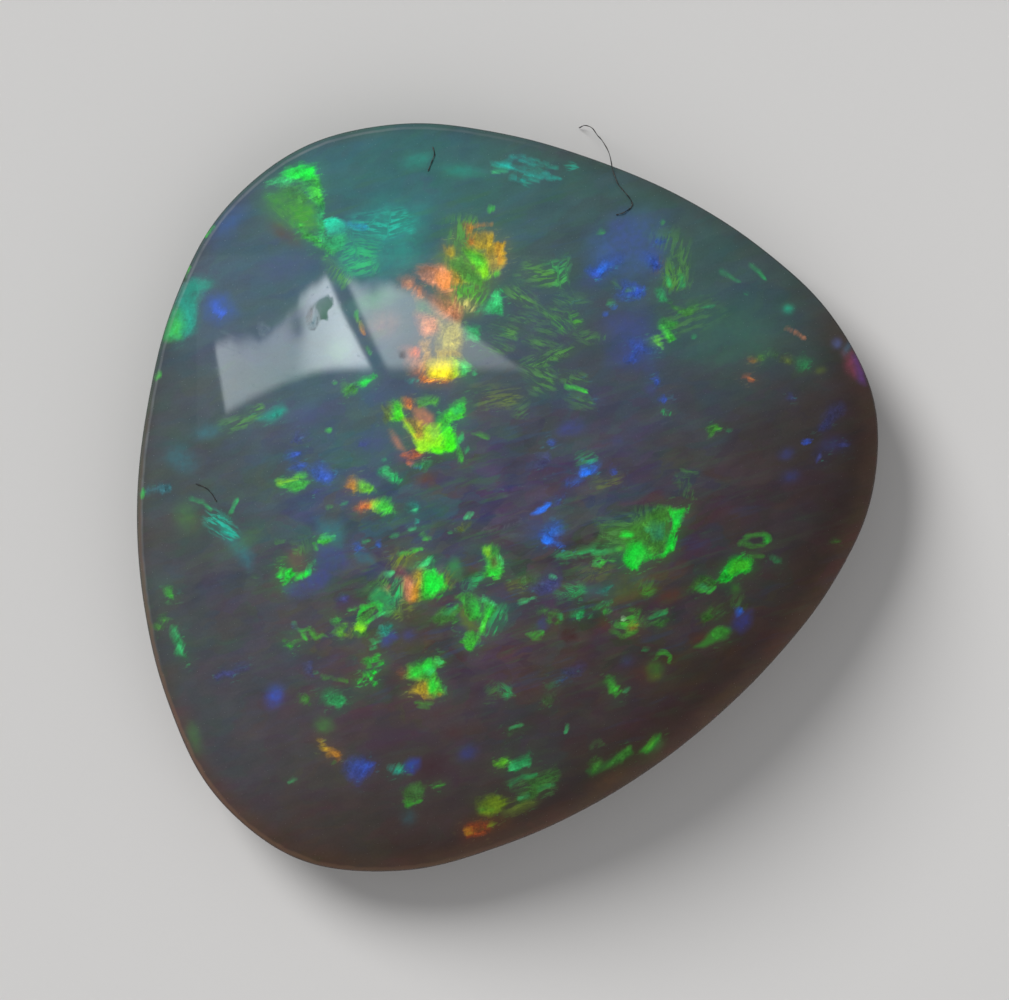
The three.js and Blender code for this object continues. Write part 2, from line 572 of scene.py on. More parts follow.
feather(FERN, 40, (-450, 576), (-410, 580), (-375, 550), (-360, 510), (-400, 515), (-435, 535), soft=25,
    grain=-40)
spark(EMERALD, 80, (-420, 616), (-395, 626), (-368, 628), (-364, 610), (-385, 604), grain=15, fade=200)
spark(SURF, 90, (-350, 528), (-333, 533), (-310, 524), (-300, 512), (-313, 502), (-340, 498), grain=10,
    fade=300)
streak(AZURE, 55, (-302, 520), (-285, 515), (-268, 515))
flash(JADE, 65, (-352, 502), (-310, 500), (-308, 475), (-335, 466), (-350, 474), grain=80)
flash(LEAF, 45, (-346, 472), (-330, 470), (-328, 460), (-344, 458))
feather(FERN, 75, (-342, 450), (-315, 435), (-300, 412), (-315, 405), (-328, 422), grain=-50)
feather(JADE, 40, (-320, 488), (-250, 485), (-250, 430), (-310, 420), soft=20)
feather(TEAL, 75, (-252, 533), (-233, 535), (-208, 520), (-198, 507), (-215, 503), (-250, 520), grain=-15)
feather(TEAL, 55, (-300, 525), (-260, 535), (-200, 545), (-170, 520), (-230, 495), (-290, 505), soft=15,
    grain=8)
fleck(TEAL, 55, -183, 505, 20, 8)
streak(TEAL, 45, (-300, 515), (-265, 512), width=6)

# %% [markdown]
# ## The fire at the top
# The warm colours of this stone sit together above the middle: a yellow flash with a lime heart, and salmon
# and orange patches that lead down to the brightest yellow of all.

# %% Top fire
haze(OLIVE, 50, (-130, 460), (-90, 510), (-40, 490), (-30, 400), (-60, 350), (-130, 340), soft=25)
feather(FERN, 85, (-112, 520), (-95, 530), (-62, 528), (-64, 480), (-108, 480), grain=84)
fleck(LEAF, 65, -31, 548, 16, 10, 60)
streak(AMBER, 60, (-69, 513), (-50, 517), (-31, 519))
flash(AMBER, 75, (-80, 518), (-70, 520), (-66, 500), (-78, 500), grain=80)
flash(GOLD, 80, (-72, 500), (-45, 506), (-27, 500), (-30, 472), (-60, 470), grain=80)
flash(ORANGE, 90, (-76, 495), (-62, 495), (-58, 480), (-72, 478), grain=80)
flash(GOLD, 98, (-38, 482), (-5, 484), (-6, 445), (-16, 422), (-36, 430), (-42, 460), grain=80, fade=250)
spark(AMBER, 60, (-24, 480), (-8, 480), (-10, 442), (-20, 440), grain=80)
flash(SPRING, 98, (-85, 472), (-60, 472), (-36, 450), (-30, 422), (-45, 416), (-70, 440), grain=-50)
spark(LEAF, 50, (-75, 462), (-58, 462), (-45, 442), (-60, 438), grain=-50)
spark(LIME, 50, (-60, 430), (-40, 440), (-34, 420), (-46, 418), grain=-50)
flash(GOLD, 80, (-120, 476), (-105, 476), (-100, 456), (-110, 452), grain=80)
flash(MOSS, 80, (-118, 454), (-85, 460), (-50, 420), (-50, 404), (-90, 404), (-110, 430), grain=80)
feather(MOSS, 80, (-110, 410), (-50, 410), (-40, 370), (-100, 370), grain=82)
fleck(LEAF, 80, -19, 426, 20, 14, 60)
flash(SALMON, 95, (-172, 436), (-150, 442), (-120, 440), (-106, 425), (-106, 395), (-120, 393), (-140, 405),
    (-165, 415), grain=80, fade=160)
spark(APRICOT, 75, (-134, 430), (-110, 428), (-108, 396), (-124, 396), (-136, 410), grain=84)
streak(UMBER, 75, (-166, 432), (-150, 436), (-136, 430))
flash(AMBER, 80, (-108, 436), (-88, 430), (-80, 406), (-105, 402), grain=80)
flash(SALMON, 80, (-197, 413), (-182, 413), (-180, 399), (-195, 400), soft=15)
flash(SALMON, 92, (-177, 398), (-162, 400), (-160, 378), (-174, 378), grain=80)
flash(SALMON, 90, (-124, 397), (-102, 397), (-100, 380), (-120, 382), soft=14, grain=80)
haze(SMOKE, 60, (-164, 392), (-150, 395), (-130, 372), (-145, 365), soft=8)
flash(SALMON, 88, (-147, 375), (-110, 378), (-90, 360), (-92, 335), (-125, 338), (-145, 360), soft=20,
    grain=80)
flash(FERN, 60, (-174, 374), (-160, 374), (-122, 340), (-130, 334), (-170, 355), soft=14, grain=-40)
flash(SALMON, 97, (-170, 348), (-130, 350), (-126, 314), (-160, 310), soft=14, grain=84)
flash(seen(206, 192, 84), 85, (-136, 335), (-90, 330), (-82, 295), (-95, 274), (-130, 278), soft=15,
    grain=86)
flash(JADE, 80, (-84, 326), (-58, 324), (-54, 300), (-80, 298), grain=84)
feather(STRAW, 70, (-97, 382), (-67, 382), (-67, 358), (-95, 358), grain=84)
flash(JADE, 92, (-20, 396), (-14, 395), (-9, 348), (-20, 350), (-60, 352), (-45, 366), (-30, 378), grain=40,
    fade=200)
spark(MINT, 60, (-30, 384), (-16, 390), (-12, 366), (-26, 370))
print("strokes so far:", feathers.count + flashes.count + sparks.count)

# %% [markdown]
# ## The yellow heart and the square flash
# Below the window's reflection lies the hottest patch, bright yellow with a salmon hem. Under it a square
# group of lime, green and orange pieces looks like broken glass.

# %% Yellow heart
flash(ORANGE, 80, (-198, 282), (-170, 284), (-164, 262), (-185, 266), soft=12, fade=180)
spark(CORAL, 50, (-184, 283), (-168, 284), (-166, 266), (-180, 266), fade=180)
flash(SALMON, 75, (-192, 266), (-162, 266), (-160, 238), (-180, 236), soft=14, fade=180)
flash(seen(228, 178, 84), 80, (-164, 293), (-150, 295), (-146, 262), (-160, 258), grain=80)
flash(GOLD, 85, (-136, 286), (-90, 286), (-90, 266), (-136, 266), soft=12, grain=86)
flash(AMBER, 95, (-170, 256), (-152, 266), (-146, 242), (-164, 232), grain=80)
flash(YELLOW, 100, (-156, 260), (-120, 272), (-95, 268), (-93, 230), (-108, 222), (-150, 226), soft=5,
    grain=86, fade=100)
spark(seen(250, 226, 30), 95, (-150, 254), (-115, 260), (-104, 240), (-120, 228), (-146, 232), soft=12,
    grain=86)
spark(LIME, 60, (-106, 264), (-94, 262), (-93, 232), (-102, 228), grain=86)
flash(ORANGE, 95, (-170, 238), (-140, 228), (-112, 226), (-114, 218), (-140, 217), (-166, 222), grain=15)
flash(LEAF, 95, (-95, 262), (-80, 261), (-70, 246), (-72, 228), (-94, 228), grain=88)
spark(MINT, 55, (-90, 256), (-74, 252), (-72, 234), (-88, 230), grain=88)
fleck(JADE, 75, -64, 236, 12, 9, 80)
streak(LEAF, 60, (-288, 352), (-282, 332))
streak(AMBER, 45, (-280, 330), (-272, 312))
fleck(LEAF, 50, -264, 278, 14, 5, -60)
fleck(LEAF, 65, -327, 217, 10, 7)
flash(MOSS, 85, (-314, 216), (-287, 214), (-287, 197), (-300, 200), (-307, 192), (-313, 200), grain=40)
flash(EMERALD, 80, (-284, 220), (-260, 228), (-254, 231), (-262, 219), (-276, 211), grain=30)
fleck(TEAL, 55, -178, 222, 28, 7, 0)

# %% Square flash, the left and middle pieces
glow(DUSK, 45, -255, 100, 80, 60)
flash(OLIVE, 90, (-237, 170), (-224, 184), (-215, 182), (-217, 145), (-225, 140), (-235, 146), grain=80)
flash(GRASS, 98, (-218, 184), (-206, 184), (-195, 162), (-198, 150), (-210, 145), (-220, 146), grain=70)
flash(ORANGE, 75, (-199, 186), (-183, 186), (-179, 172), (-194, 169))
flash(MOSS, 90, (-174, 184), (-152, 189), (-134, 188), (-132, 177), (-154, 177), (-168, 171), grain=10)
haze(SALMON, 40, (-180, 170), (-160, 170), (-142, 155), (-140, 135), (-155, 133), (-175, 150), soft=8)
flash(GOLD, 85, (-194, 148), (-176, 149), (-150, 132), (-144, 110), (-160, 105), (-175, 105), (-186, 126))
spark(LIME, 100, (-174, 110), (-150, 114), (-143, 100), (-153, 86), (-166, 87))
streak(LIME, 90, (-193, 135), (-183, 122), (-172, 103), (-162, 88), width=7)
flash(GRASS, 90, (-128, 157), (-105, 173), (-82, 184), (-79, 160), (-87, 149), (-105, 151), (-110, 138),
    (-97, 120), (-96, 95), (-105, 87), (-135, 84), (-150, 89), (-150, 100), (-130, 122), (-135, 140))
spark(GRASS, 95, (-127, 124), (-100, 124), (-97, 94), (-105, 88), (-125, 90), (-120, 105), grain=40)
spark(GRASS, 100, (-150, 100), (-125, 102), (-120, 86), (-135, 84), (-150, 88), grain=20)
spark(JADE, 60, (-110, 170), (-84, 180), (-82, 162), (-98, 156), grain=50)
spark(LIME, 80, (-158, 136), (-130, 140), (-120, 110), (-124, 90), (-150, 90), (-160, 110), soft=5, grain=50)

# %% Square flash, the hem and its neighbours
flash(LEAF, 80, (-98, 103), (-92, 95), (-86, 66), (-93, 82), grain=80)
fleck(JADE, 70, -89, 112, 20, 8, 70)
fleck(JADE, 70, -76, 90, 12, 7, 70)
flash(ORANGE, 85, (-198, 77), (-176, 85), (-160, 88), (-164, 76), (-180, 73), grain=15)
haze(SALMON, 42, (-222, 128), (-210, 115), (-196, 90), (-208, 94), (-217, 108), soft=7)
fleck(ORANGE, 65, -186, 65, 13, 10)
flash(JADE, 80, (-179, 60), (-163, 71), (-142, 71), (-154, 61), (-160, 52), (-173, 52), grain=20)
spark(AZURE, 45, (-178, 58), (-166, 60), (-164, 53), (-174, 52))
glow(RUST, 55, -155, 36, 30, 35, 80)
flash(JADE, 90, (-245, 47), (-230, 59), (-215, 48), (-197, 32), (-210, 26), (-225, 37), (-243, 42))
fleck(JADE, 70, -233, 70, 10, 7)
flash(LEAF, 72, (-436, 28), (-413, 34), (-402, 36), (-374, 30), (-386, 18), (-402, 13), (-430, 19), grain=5)
streak(LIME, 80, (-433, 28), (-415, 33), (-400, 35))
streak(LEAF, 70, (-403, 40), (-384, 43))
flash(AMBER, 85, (-306, 27), (-295, 39), (-284, 35), (-284, 12), (-292, 7), (-300, 16))
flash(SPRING, 70, (-286, 35), (-275, 32), (-254, 14), (-273, 11), (-287, 12), grain=30)
flash(ORANGE, 85, (-287, -20), (-274, -9), (-256, -8), (-255, -20), (-278, -28), grain=15)
flash(LEAF, 95, (-258, -9), (-238, -4), (-224, -4), (-217, -28), (-238, -29), (-258, -24), grain=25)
spark(LIME, 70, (-257, -10), (-244, -8), (-246, -20), (-257, -20))
print("strokes so far:", feathers.count + flashes.count + sparks.count)

# %% [markdown]
# ## Blue and teal at the left
# The left flank is quieter. A teal brush mark, a few blue pools and small green glints by the rim keep it
# from going dull.

# %% Left flank
glow(LAGOON, 55, -620, 75, 50, 70, 60)
glow(LAGOON, 45, -570, 125, 60, 30)
glow(FERN, 35, -610, -35, 50, 60)
glow(DUSK, 45, -375, 155, 80, 40)
haze(seen(50, 132, 118), 90, (-617, 400), (-598, 415), (-562, 410), (-562, 400), (-582, 390), (-592, 375),
    (-594, 343), (-600, 315), (-626, 303), (-649, 303), (-642, 335), (-630, 365), soft=8)
haze(seen(66, 168, 60), 90, (-630, 360), (-618, 350), (-612, 325), (-624, 304), (-649, 303), (-642, 335),
    soft=14)
flash(TEAL, 40, (-617, 393), (-598, 415), (-562, 410), (-582, 388), (-590, 375), (-594, 312), (-620, 302),
    (-647, 304), (-630, 365), soft=14)
spark(LEAF, 55, (-630, 335), (-620, 330), (-622, 305), (-646, 304), (-640, 325), soft=12)
spark(TEAL, 40, (-612, 362), (-598, 362), (-596, 330), (-608, 320), soft=14)
haze(seen(58, 86, 156), 55, (-575, 385), (-535, 387), (-515, 350), (-550, 330), (-575, 345), soft=16)
spark(seen(56, 98, 220), 80, (-558, 366), (-550, 370), (-544, 360), (-538, 350), (-546, 343), (-558, 352),
    soft=10)
fleck(LEAF, 55, -665, 228, 16, 8, 70)
haze(seen(46, 140, 126), 75, (-475, 150), (-450, 164), (-428, 176), (-420, 166), (-445, 145), soft=10)
flash(TEAL, 60, (-466, 150), (-450, 160), (-436, 170), (-430, 160), (-450, 148), grain=25)
feather(FERN, 80, (-542, 140), (-500, 156), (-470, 173), (-466, 160), (-500, 140), (-530, 131), grain=22)
flash(LAGOON, 80, (-696, 7), (-685, 16), (-663, 26), (-637, 23), (-643, 12), (-670, 10), grain=10)
feather(TEAL, 95, (-562, -30), (-545, -36), (-520, -62), (-510, -72), (-530, -78), (-555, -60), (-568, -42),
    grain=-35)
streak(JADE, 85, (-524, -27), (-514, -6))
streak(JADE, 45, (-600, -3), (-580, -10), (-564, -22))
spark(TEAL, 60, (-555, -46), (-540, -50), (-516, -66), (-520, -74), (-542, -66), grain=-30)
haze(LAGOON, 65, (-540, -70), (-510, -78), (-485, -110), (-490, -135), (-510, -115), (-525, -95), soft=15)
glow(FERN, 30, -495, -80, 80, 35, 30)
flash(BLUE, 62, (-376, 55), (-357, 64), (-340, 50), (-327, 40), (-340, 29), (-363, 32), soft=13)
fleck(INDIGO, 70, -395, 113, 32, 18, 20, flashes, 8)
fleck(BLUE, 50, -408, 80, 25, 14, 20, flashes, 8)
fleck(BLUE, 55, -397, 59, 28, 12, 15, flashes, 7)
fleck(INDIGO, 60, -272, 103, 16, 12, 15, flashes, 8)
fleck(INDIGO, 70, -364, 10, 20, 7, 10, flashes)
fleck(LEAF, 55, -340, 127, 13, 12, 30)
fleck(LEAF, 40, -336, -18, 12, 6)
fleck(JADE, 75, -312, -12, 13, 6)
fleck(TEAL, 60, -178, -17, 26, 18, 0, flashes, 10)
fleck(LEAF, 65, -643, -182, 22, 12, -50, flashes, 6)
fleck(TEAL, 40, -622, -180, 8, 8)
fleck(MOSS, 60, -650, -231, 22, 12, 0, flashes, 6)
fleck(MOSS, 55, -665, -245, 14, 12, 0, flashes, 6)
flash(JADE, 75, (-638, -245), (-630, -248), (-620, -265), (-614, -280), (-615, -295), (-608, -307),
    (-620, -301), (-628, -290), (-630, -275), (-638, -260), grain=-65)
spark(MINT, 45, (-624, -280), (-616, -282), (-617, -295), (-624, -290))
glow(FERN, 40, -595, -455, 25, 60, 15)
print("strokes so far:", feathers.count + flashes.count + sparks.count)

# %% [markdown]
# ## Brush marks along the top and the right
# The top and the right flank show feathers: groups of fine strands, as if drawn with a dry brush. The shader
# will break these up along their grain, so we only need to say where they are and which way they run.

# %% Top edge
glow(TEAL, 35, -172, 640, 60, 30)
glow(TEAL, 30, -85, 620, 90, 25, -5)
spark(CYAN, 75, (-30, 633), (-10, 639), (6, 636), (9, 625), (-5, 624), (-16, 627), grain=-5)
streak(MINT, 45, (-28, 618), (-3, 620))
for row in range(7):
    start = 8 + 17 * (row % 3)
    height = 647 - 6.5 * row
    streak(CYAN, 42, (start, height), (start + 24, height + 1 - 1.5 * row))
    streak(TEAL, 42, (start + 36, height - 5), (start + 52, height - 7), soft=4)
streak(CYAN, 60, (50, 617), (65, 615), (80, 613))
streak(CYAN, 60, (77, 608), (100, 605))
fleck(TEAL, 55, 36, 600, 26, 16, -20, feathers, 8)
fleck(TEAL, 55, 124, 628, 20, 10, -10, feathers, 6)

# %% Feathers in the middle of the top
feather(FERN, 85, (36, 444), (73, 438), (100, 446), (115, 454), (108, 430), (113, 410), (93, 402), (60, 405),
    (24, 422), grain=8)
feather(JADE, 70, (80, 440), (112, 450), (108, 430), (110, 412), (90, 405), grain=15)
feather(FERN, 85, (2, 393), (17, 401), (32, 390), (54, 368), (73, 350), (82, 341), (50, 364), (23, 369),
    (4, 380), grain=-35)
feather(MOSS, 80, (80, 347), (90, 344), (104, 327), (114, 317), (100, 319), (87, 334), grain=-40)
feather(MOSS, 75, (112, 347), (130, 347), (144, 328), (130, 323), (120, 332), grain=-30)
feather(FERN, 50, (83, 366), (100, 366), (102, 352), (86, 352), grain=-20)
feather(FERN, 45, (56, 324), (92, 323), (90, 307), (58, 308), grain=-15)
feather(FERN, 75, (-23, 322), (15, 320), (15, 302), (-20, 304), grain=-15)
feather(FERN, 85, (30, 253), (50, 261), (70, 270), (93, 279), (122, 282), (100, 267), (78, 256), (56, 246),
    grain=22)
streak(FERN, 70, (50, 231), (70, 220), layer=feathers)
streak(LEAF, 75, (112, 210), (130, 208), (150, 202))
feather(FERN, 70, (100, 234), (145, 228), (152, 218), (120, 220), (102, 226), grain=-10)
feather(FERN, 60, (118, 192), (140, 190), (164, 182), (160, 173), (130, 176), grain=-12)
feather(FERN, 50, (14, 178), (33, 178), (34, 157), (16, 158), grain=30)
feather(FERN, 50, (-66, 192), (-25, 192), (-25, 178), (-62, 177), grain=15)
feather(OLIVE, 45, (-60, 205), (20, 200), (25, 172), (-55, 175), soft=20, grain=10)
feather(FERN, 60, (30, 248), (88, 240), (92, 210), (50, 205), grain=-30)
streak(MOSS, 65, (-68, 122), (-53, 119), (-37, 112))
for turn, x, y in [(-18, 35, 340), (-22, 60, 295), (-12, 150, 305), (-25, -20, 285), (-20, 120, 375)]:
    feather(FERN, 48, (x - 30, y), (x, y + 12), (x + 32, y - 2), (x, y - 12), grain=turn, soft=12)

# %% Blue pools at the upper right
haze(DUSK, 42, (200, 530), (230, 520), (290, 500), (295, 485), (285, 460), (250, 460), (200, 470))
glow(DUSK, 50, 216, 518, 35, 20)
haze(seen(68, 98, 158), 42, (160, 490), (220, 540), (295, 530), (295, 440), (230, 410), (160, 430), soft=30)
haze(seen(66, 78, 140), 45, (190, 340), (260, 355), (290, 310), (270, 240), (200, 260), soft=30)
glow(DUSK, 45, 156, 410, 50, 30)
flash(BLUE, 85, (170, 438), (185, 451), (203, 456), (215, 455), (200, 437), (183, 426), (174, 412),
    (162, 420), (155, 427), soft=13, grain=35)
spark(AZURE, 55, (172, 436), (188, 447), (200, 448), (188, 434), (175, 424))
fleck(BLUE, 55, 203, 362, 14, 7)
fleck(BLUE, 50, 185, 349, 12, 8)
fleck(BLUE, 60, 289, 487, 14, 20, 80, flashes, 5)
flash(BLUE, 92, (263, 458), (280, 456), (288, 440), (282, 434), (270, 442), soft=13)
flash(BLUE, 82, (212, 384), (220, 406), (230, 403), (257, 398), (261, 387), (250, 379), (230, 377), soft=13,
    grain=20)
fleck(FERN, 60, 232, 394, 16, 8, 15)
flash(BLUE, 78, (234, 296), (255, 296), (263, 286), (286, 282), (252, 277), (240, 262), (227, 262),
    (237, 280), soft=13)
fleck(BLUE, 60, 283, 223, 10, 20, 0, flashes, 6)
glow(DUSK, 50, 272, 205, 20, 25)
fleck(BLUE, 55, 297, 186, 14, 10, 0, flashes, 5)
fleck(BLUE, 50, 167, 186, 12, 10, -20, flashes, 5)
glow(DUSK, 45, 210, 108, 22, 20)
glow(INDIGO, 60, 120, 132, 55, 30)
fleck(BLUE, 55, 83, 102, 15, 12, 20, flashes, 6)
flash(INDIGO, 70, (48, 60), (62, 75), (77, 79), (78, 67), (67, 53), soft=13)
fleck(INDIGO, 55, 7, 18, 18, 8, 35, flashes, 5)
print("strokes so far:", feathers.count + flashes.count + sparks.count)

# %% Green feathers of the right flank
feather(FERN, 85, (292, 430), (300, 446), (324, 482), (336, 450), (342, 410), (335, 397), (310, 394),
    (294, 414), grain=80)
streak(JADE, 75, (304, 418), (310, 402))
spark(JADE, 70, (327, 423), (335, 419), (337, 400), (329, 399), grain=85)
feather(RUST, 50, (286, 450), (296, 450), (296, 430), (286, 428), grain=80)
flash(JADE, 60, (283, 394), (295, 396), (303, 374), (290, 372), grain=70)
flash(MOSS, 70, (309, 370), (333, 352), (343, 362), (362, 367), (350, 352), (335, 348), (312, 362),
    grain=-20)
fleck(JADE, 50, 380, 362, 24, 7, 5)
flash(LEAF, 80, (287, 327), (293, 339), (320, 334), (321, 322), (308, 319), (316, 300), (308, 295),
    (300, 310), (290, 322), grain=40)
flash(SPRING, 62, (269, 300), (285, 308), (293, 295), (299, 282), (285, 283), (272, 291), grain=50)
fleck(JADE, 55, 353, 304, 10, 8, 60)
fleck(FERN, 45, 340, 317, 20, 6)
streak(JADE, 50, (465, 440), (476, 430), (488, 416))
streak(JADE, 35, (405, 430), (440, 410))
fleck(JADE, 45, 455, 387, 7, 6)
fleck(LEAF, 45, 296, 522, 12, 6)
fleck(LEAF, 40, 178, 503, 15, 8)
fleck(LEAF, 40, 196, 369, 12, 6)
streak(FERN, 55, (200, 410), (215, 398))
feather(FERN, 45, (270, 500), (310, 510), (340, 490), (350, 440), (345, 400), (330, 430), (300, 470),
    soft=15, grain=75)
feather(FERN, 38, (310, 350), (380, 375), (410, 350), (360, 320), (310, 310), soft=20)

# %% Right shoulder, near the rim
streak(SALMON, 40, (535, 320), (552, 312), (566, 302))
glow(SURF, 50, 533, 358, 20, 20)
haze(seen(64, 112, 92), 38, (350, 360), (430, 375), (515, 330), (490, 260), (410, 240), (350, 270), soft=45)
fleck(SPRING, 45, 482, 266, 14, 10, 20, flashes, 6)
fleck(AMBER, 45, 466, 260, 16, 10, 10, flashes, 6)
fleck(ORANGE, 45, 460, 226, 20, 8, -15, flashes, 6)
flash(FERN, 55, (494, 272), (505, 278), (518, 274), (512, 266), soft=8)
flash(OLIVE, 75, (515, 272), (530, 270), (543, 258), (535, 252), (520, 262), soft=8)
flash(JADE, 55, (550, 260), (565, 266), (578, 258), (570, 242), (552, 240), soft=10)
glow(OLIVE, 40, 595, 242, 25, 15)
haze(ROSE, 70, (640, 275), (656, 280), (670, 245), (660, 230), (645, 242), soft=12)
haze(VIOLET, 80, (655, 270), (662, 272), (678, 235), (680, 215), (668, 220), (662, 242), soft=8)
glow(seen(88, 96, 138), 85, 626, 293, 18, 20)
glow(seen(82, 108, 128), 75, 646, 283, 15, 30, -30)
fleck(INDIGO, 70, 538, 190, 17, 12, 0, flashes, 6)
flash(INDIGO, 85, (594, 128), (604, 150), (615, 166), (630, 173), (637, 168), (620, 150), (609, 135),
    (600, 126), soft=13)
spark(BLUE, 90, (559, 103), (567, 111), (579, 109), (573, 103), (563, 100), soft=4)
fleck(INDIGO, 90, 638, 100, 14, 15, 0, flashes, 7)
fleck(INDIGO, 90, 593, 77, 17, 11, 65, flashes, 7)
glow(INDIGO, 55, 530, 83, 30, 22, 20)
glow(INDIGO, 40, 538, 40, 35, 25)
glow(INDIGO, 35, 615, 100, 50, 30)
flash(MOSS, 90, (378, 130), (384, 138), (393, 141), (401, 138), (406, 130), (395, 126), (385, 116), soft=5)
fleck(JADE, 40, 420, 127, 10, 5)
fleck(JADE, 45, 300, 162, 10, 20, 70, feathers)

# %% Azure glints of the middle
spark(AZURE, 100, (136, 48), (142, 56), (153, 53), (155, 45), (150, 40), (140, 41), soft=5)
flash(AZURE, 70, (145, 52), (158, 62), (170, 63), (168, 52), (155, 47), soft=13, grain=25)
feather(JADE, 60, (140, 75), (155, 80), (168, 70), (155, 64), (142, 66))
flash(AZURE, 60, (115, 26), (135, 39), (140, 44), (142, 34), (133, 26), soft=13)
fleck(BLUE, 60, 202, 49, 12, 10, 0, flashes, 5)
feather(OLIVE, 55, (172, 28), (185, 28), (210, 39), (214, 30), (195, 22), (175, 20), grain=15)
for row in range(4):
    streak(FERN, 35, (318 + 4 * row, 44 - 12 * row), (342 + 5 * row, 36 - 13 * row), layer=feathers)
streak(FERN, 45, (330, 52), (358, 48), layer=feathers)
spark(AZURE, 90, (48, -30), (60, -20), (75, -12), (83, -11), (76, -22), (62, -31), soft=4.5, grain=30)
flash(BLUE, 50, (82, -12), (95, -2), (106, 0), (98, -10), soft=13)
flash(AZURE, 80, (64, -70), (80, -54), (90, -49), (96, -50), (98, -65), (86, -78), (100, -88), (104, -93),
    (80, -90), (68, -84), soft=13, grain=50)
spark(AZURE, 100, (66, -78), (73, -71), (80, -79), (86, -85), (78, -91), (70, -87), soft=4.5)
glow(DUSK, 45, 60, -60, 90, 50, 30)
streak(SMOKE, 35, (-45, -60), (-30, -58), (0, -55), (30, -47), soft=6, layer=feathers)
print("strokes so far:", feathers.count + flashes.count + sparks.count)

# %% [markdown]
# ## The lower left: shards and cells
# Here the patches lie in rows that rise to the right. Some are solid shards, one is a hook of pure green over
# a violet pool, and several are cells with a bright wall and a dull middle.

# %% The hook and its violet pool
haze(INDIGO, 42, (-360, -88), (-335, -90), (-310, -105), (-295, -130), (-330, -150), (-350, -175),
    (-390, -190), (-415, -188), (-425, -172), (-400, -158), (-375, -150), (-365, -130), soft=12)
glow(seen(66, 70, 138), 40, -368, -155, 50, 25, 25)
glow(seen(108, 88, 78), 60, -400, -120, 35, 50, 20)
flash(EMERALD, 100, (-438, -150), (-430, -136), (-424, -135), (-425, -166), (-429, -160), (-437, -153),
    soft=4, grain=85)
flash(EMERALD, 100, (-426, -136), (-412, -139), (-403, -147), (-412, -156), (-423, -168), (-427, -160),
    soft=4, grain=75)
streak(FERN, 75, (-429, -138), (-427, -164))
flash(JADE, 95, (-384, -142), (-378, -134), (-372, -126), (-367, -120), (-370, -132), (-377, -145))
spark(EMERALD, 100, (-403, -150), (-393, -145), (-382, -141), (-379, -146), (-388, -153), (-402, -155),
    grain=20)
fleck(MOSS, 50, -428, -116, 18, 7, 30, feathers)
feather(FERN, 55, (-405, -90), (-385, -88), (-384, -104), (-404, -105), grain=80)
haze(LAGOON, 55, (-362, -44), (-318, -40), (-310, -65), (-315, -95), (-335, -85), (-358, -66), soft=12)
flash(LEAF, 100, (-372, -87), (-350, -75), (-340, -71), (-329, -75), (-335, -83), (-350, -88), soft=5,
    grain=20)
streak(MINT, 60, (-352, -78), (-338, -74), (-328, -72))
streak(LEAF, 50, (-364, -88), (-363, -98))
streak(MOSS, 60, (-440, -85), (-425, -84))
fleck(INDIGO, 70, -312, -192, 20, 17, 20, flashes, 8)
fleck(AZURE, 65, -283, -94, 12, 10, 0, flashes, 5)
haze(LAGOON, 60, (-287, -106), (-260, -108), (-252, -125), (-283, -122), soft=10)
fleck(AZURE, 50, -245, -90, 8, 13, 0, flashes, 5)
fleck(JADE, 55, -267, -84, 17, 5, 20)
fleck(JADE, 75, -213, -73, 20, 6, 25)
fleck(MINT, 70, -185, -61, 13, 5, 10)
fleck(MINT, 60, -176, -23, 10, 6, 10)
fleck(TEAL, 85, -170, -46, 4, 9, 0)
fleck(MOSS, 60, -161, -68, 15, 13, 40, flashes, 5)
fleck(LEAF, 55, -153, -80, 12, 6, 0)

# %% Rows of slivers
flash(LEAF, 85, (-333, -234), (-325, -229), (-318, -234), (-326, -239), grain=10)
flash(SPRING, 75, (-329, -260), (-322, -249), (-309, -246), (-312, -256), (-317, -263), grain=40)
feather(OLIVE, 70, (-312, -250), (-290, -250), (-288, -262), (-310, -262), grain=10)
streak(LEAF, 75, (-406, -238), (-400, -248), (-392, -256), (-387, -266), (-382, -270))
streak(LEAF, 75, (-393, -256), (-386, -251), (-377, -247))
fleck(BLUE, 45, -407, -246, 8, 8)
streak(MOSS, 75, (-373, -253), (-368, -262), (-363, -267), (-352, -260), (-343, -262))
flash(LEAF, 82, (-424, -275), (-415, -277), (-405, -272), (-395, -271), (-405, -277), (-412, -284),
    (-418, -279), grain=15)
flash(LEAF, 72, (-300, -214), (-288, -212), (-287, -217), (-298, -218), grain=5)
streak(MOSS, 55, (-350, -342), (-330, -344), (-305, -350))
flash(DUSK, 80, (-386, -320), (-375, -313), (-368, -320), (-370, -338), (-382, -338))
fleck(JADE, 55, -364, -332, 10, 6)
for x, y, size in [(-267, -310, 12), (-250, -306, 15), (-240, -316, 16), (-256, -330, 15), (-268, -337, 16),
                   (-282, -350, 12), (-260, -345, 12), (-262, -320, 9), (-272, -352, 10), (-252, -352, 9)]:
    fleck(EMERALD, 80, x, y, size, size * 0.8, 50, flashes, 5)
flash(MOSS, 80, (-393, -380), (-385, -377), (-376, -382), (-376, -393), (-388, -393))
flash(JADE, 80, (-352, -375), (-340, -367), (-322, -370), (-312, -380), (-308, -390), (-320, -398),
    (-340, -394), (-350, -385), soft=8, grain=30)
glow(FERN, 60, -350, -433, 30, 40, 80)
glow(BLUE, 50, -443, -377, 40, 32, 60)
streak(INDIGO, 75, (-552, -342), (-540, -334), (-525, -337), (-512, -324), (-498, -320), width=8, soft=8,
    layer=flashes)
flash(GOLD, 80, (-359, -462), (-350, -466), (-340, -476), (-342, -484), (-353, -474), grain=-35)
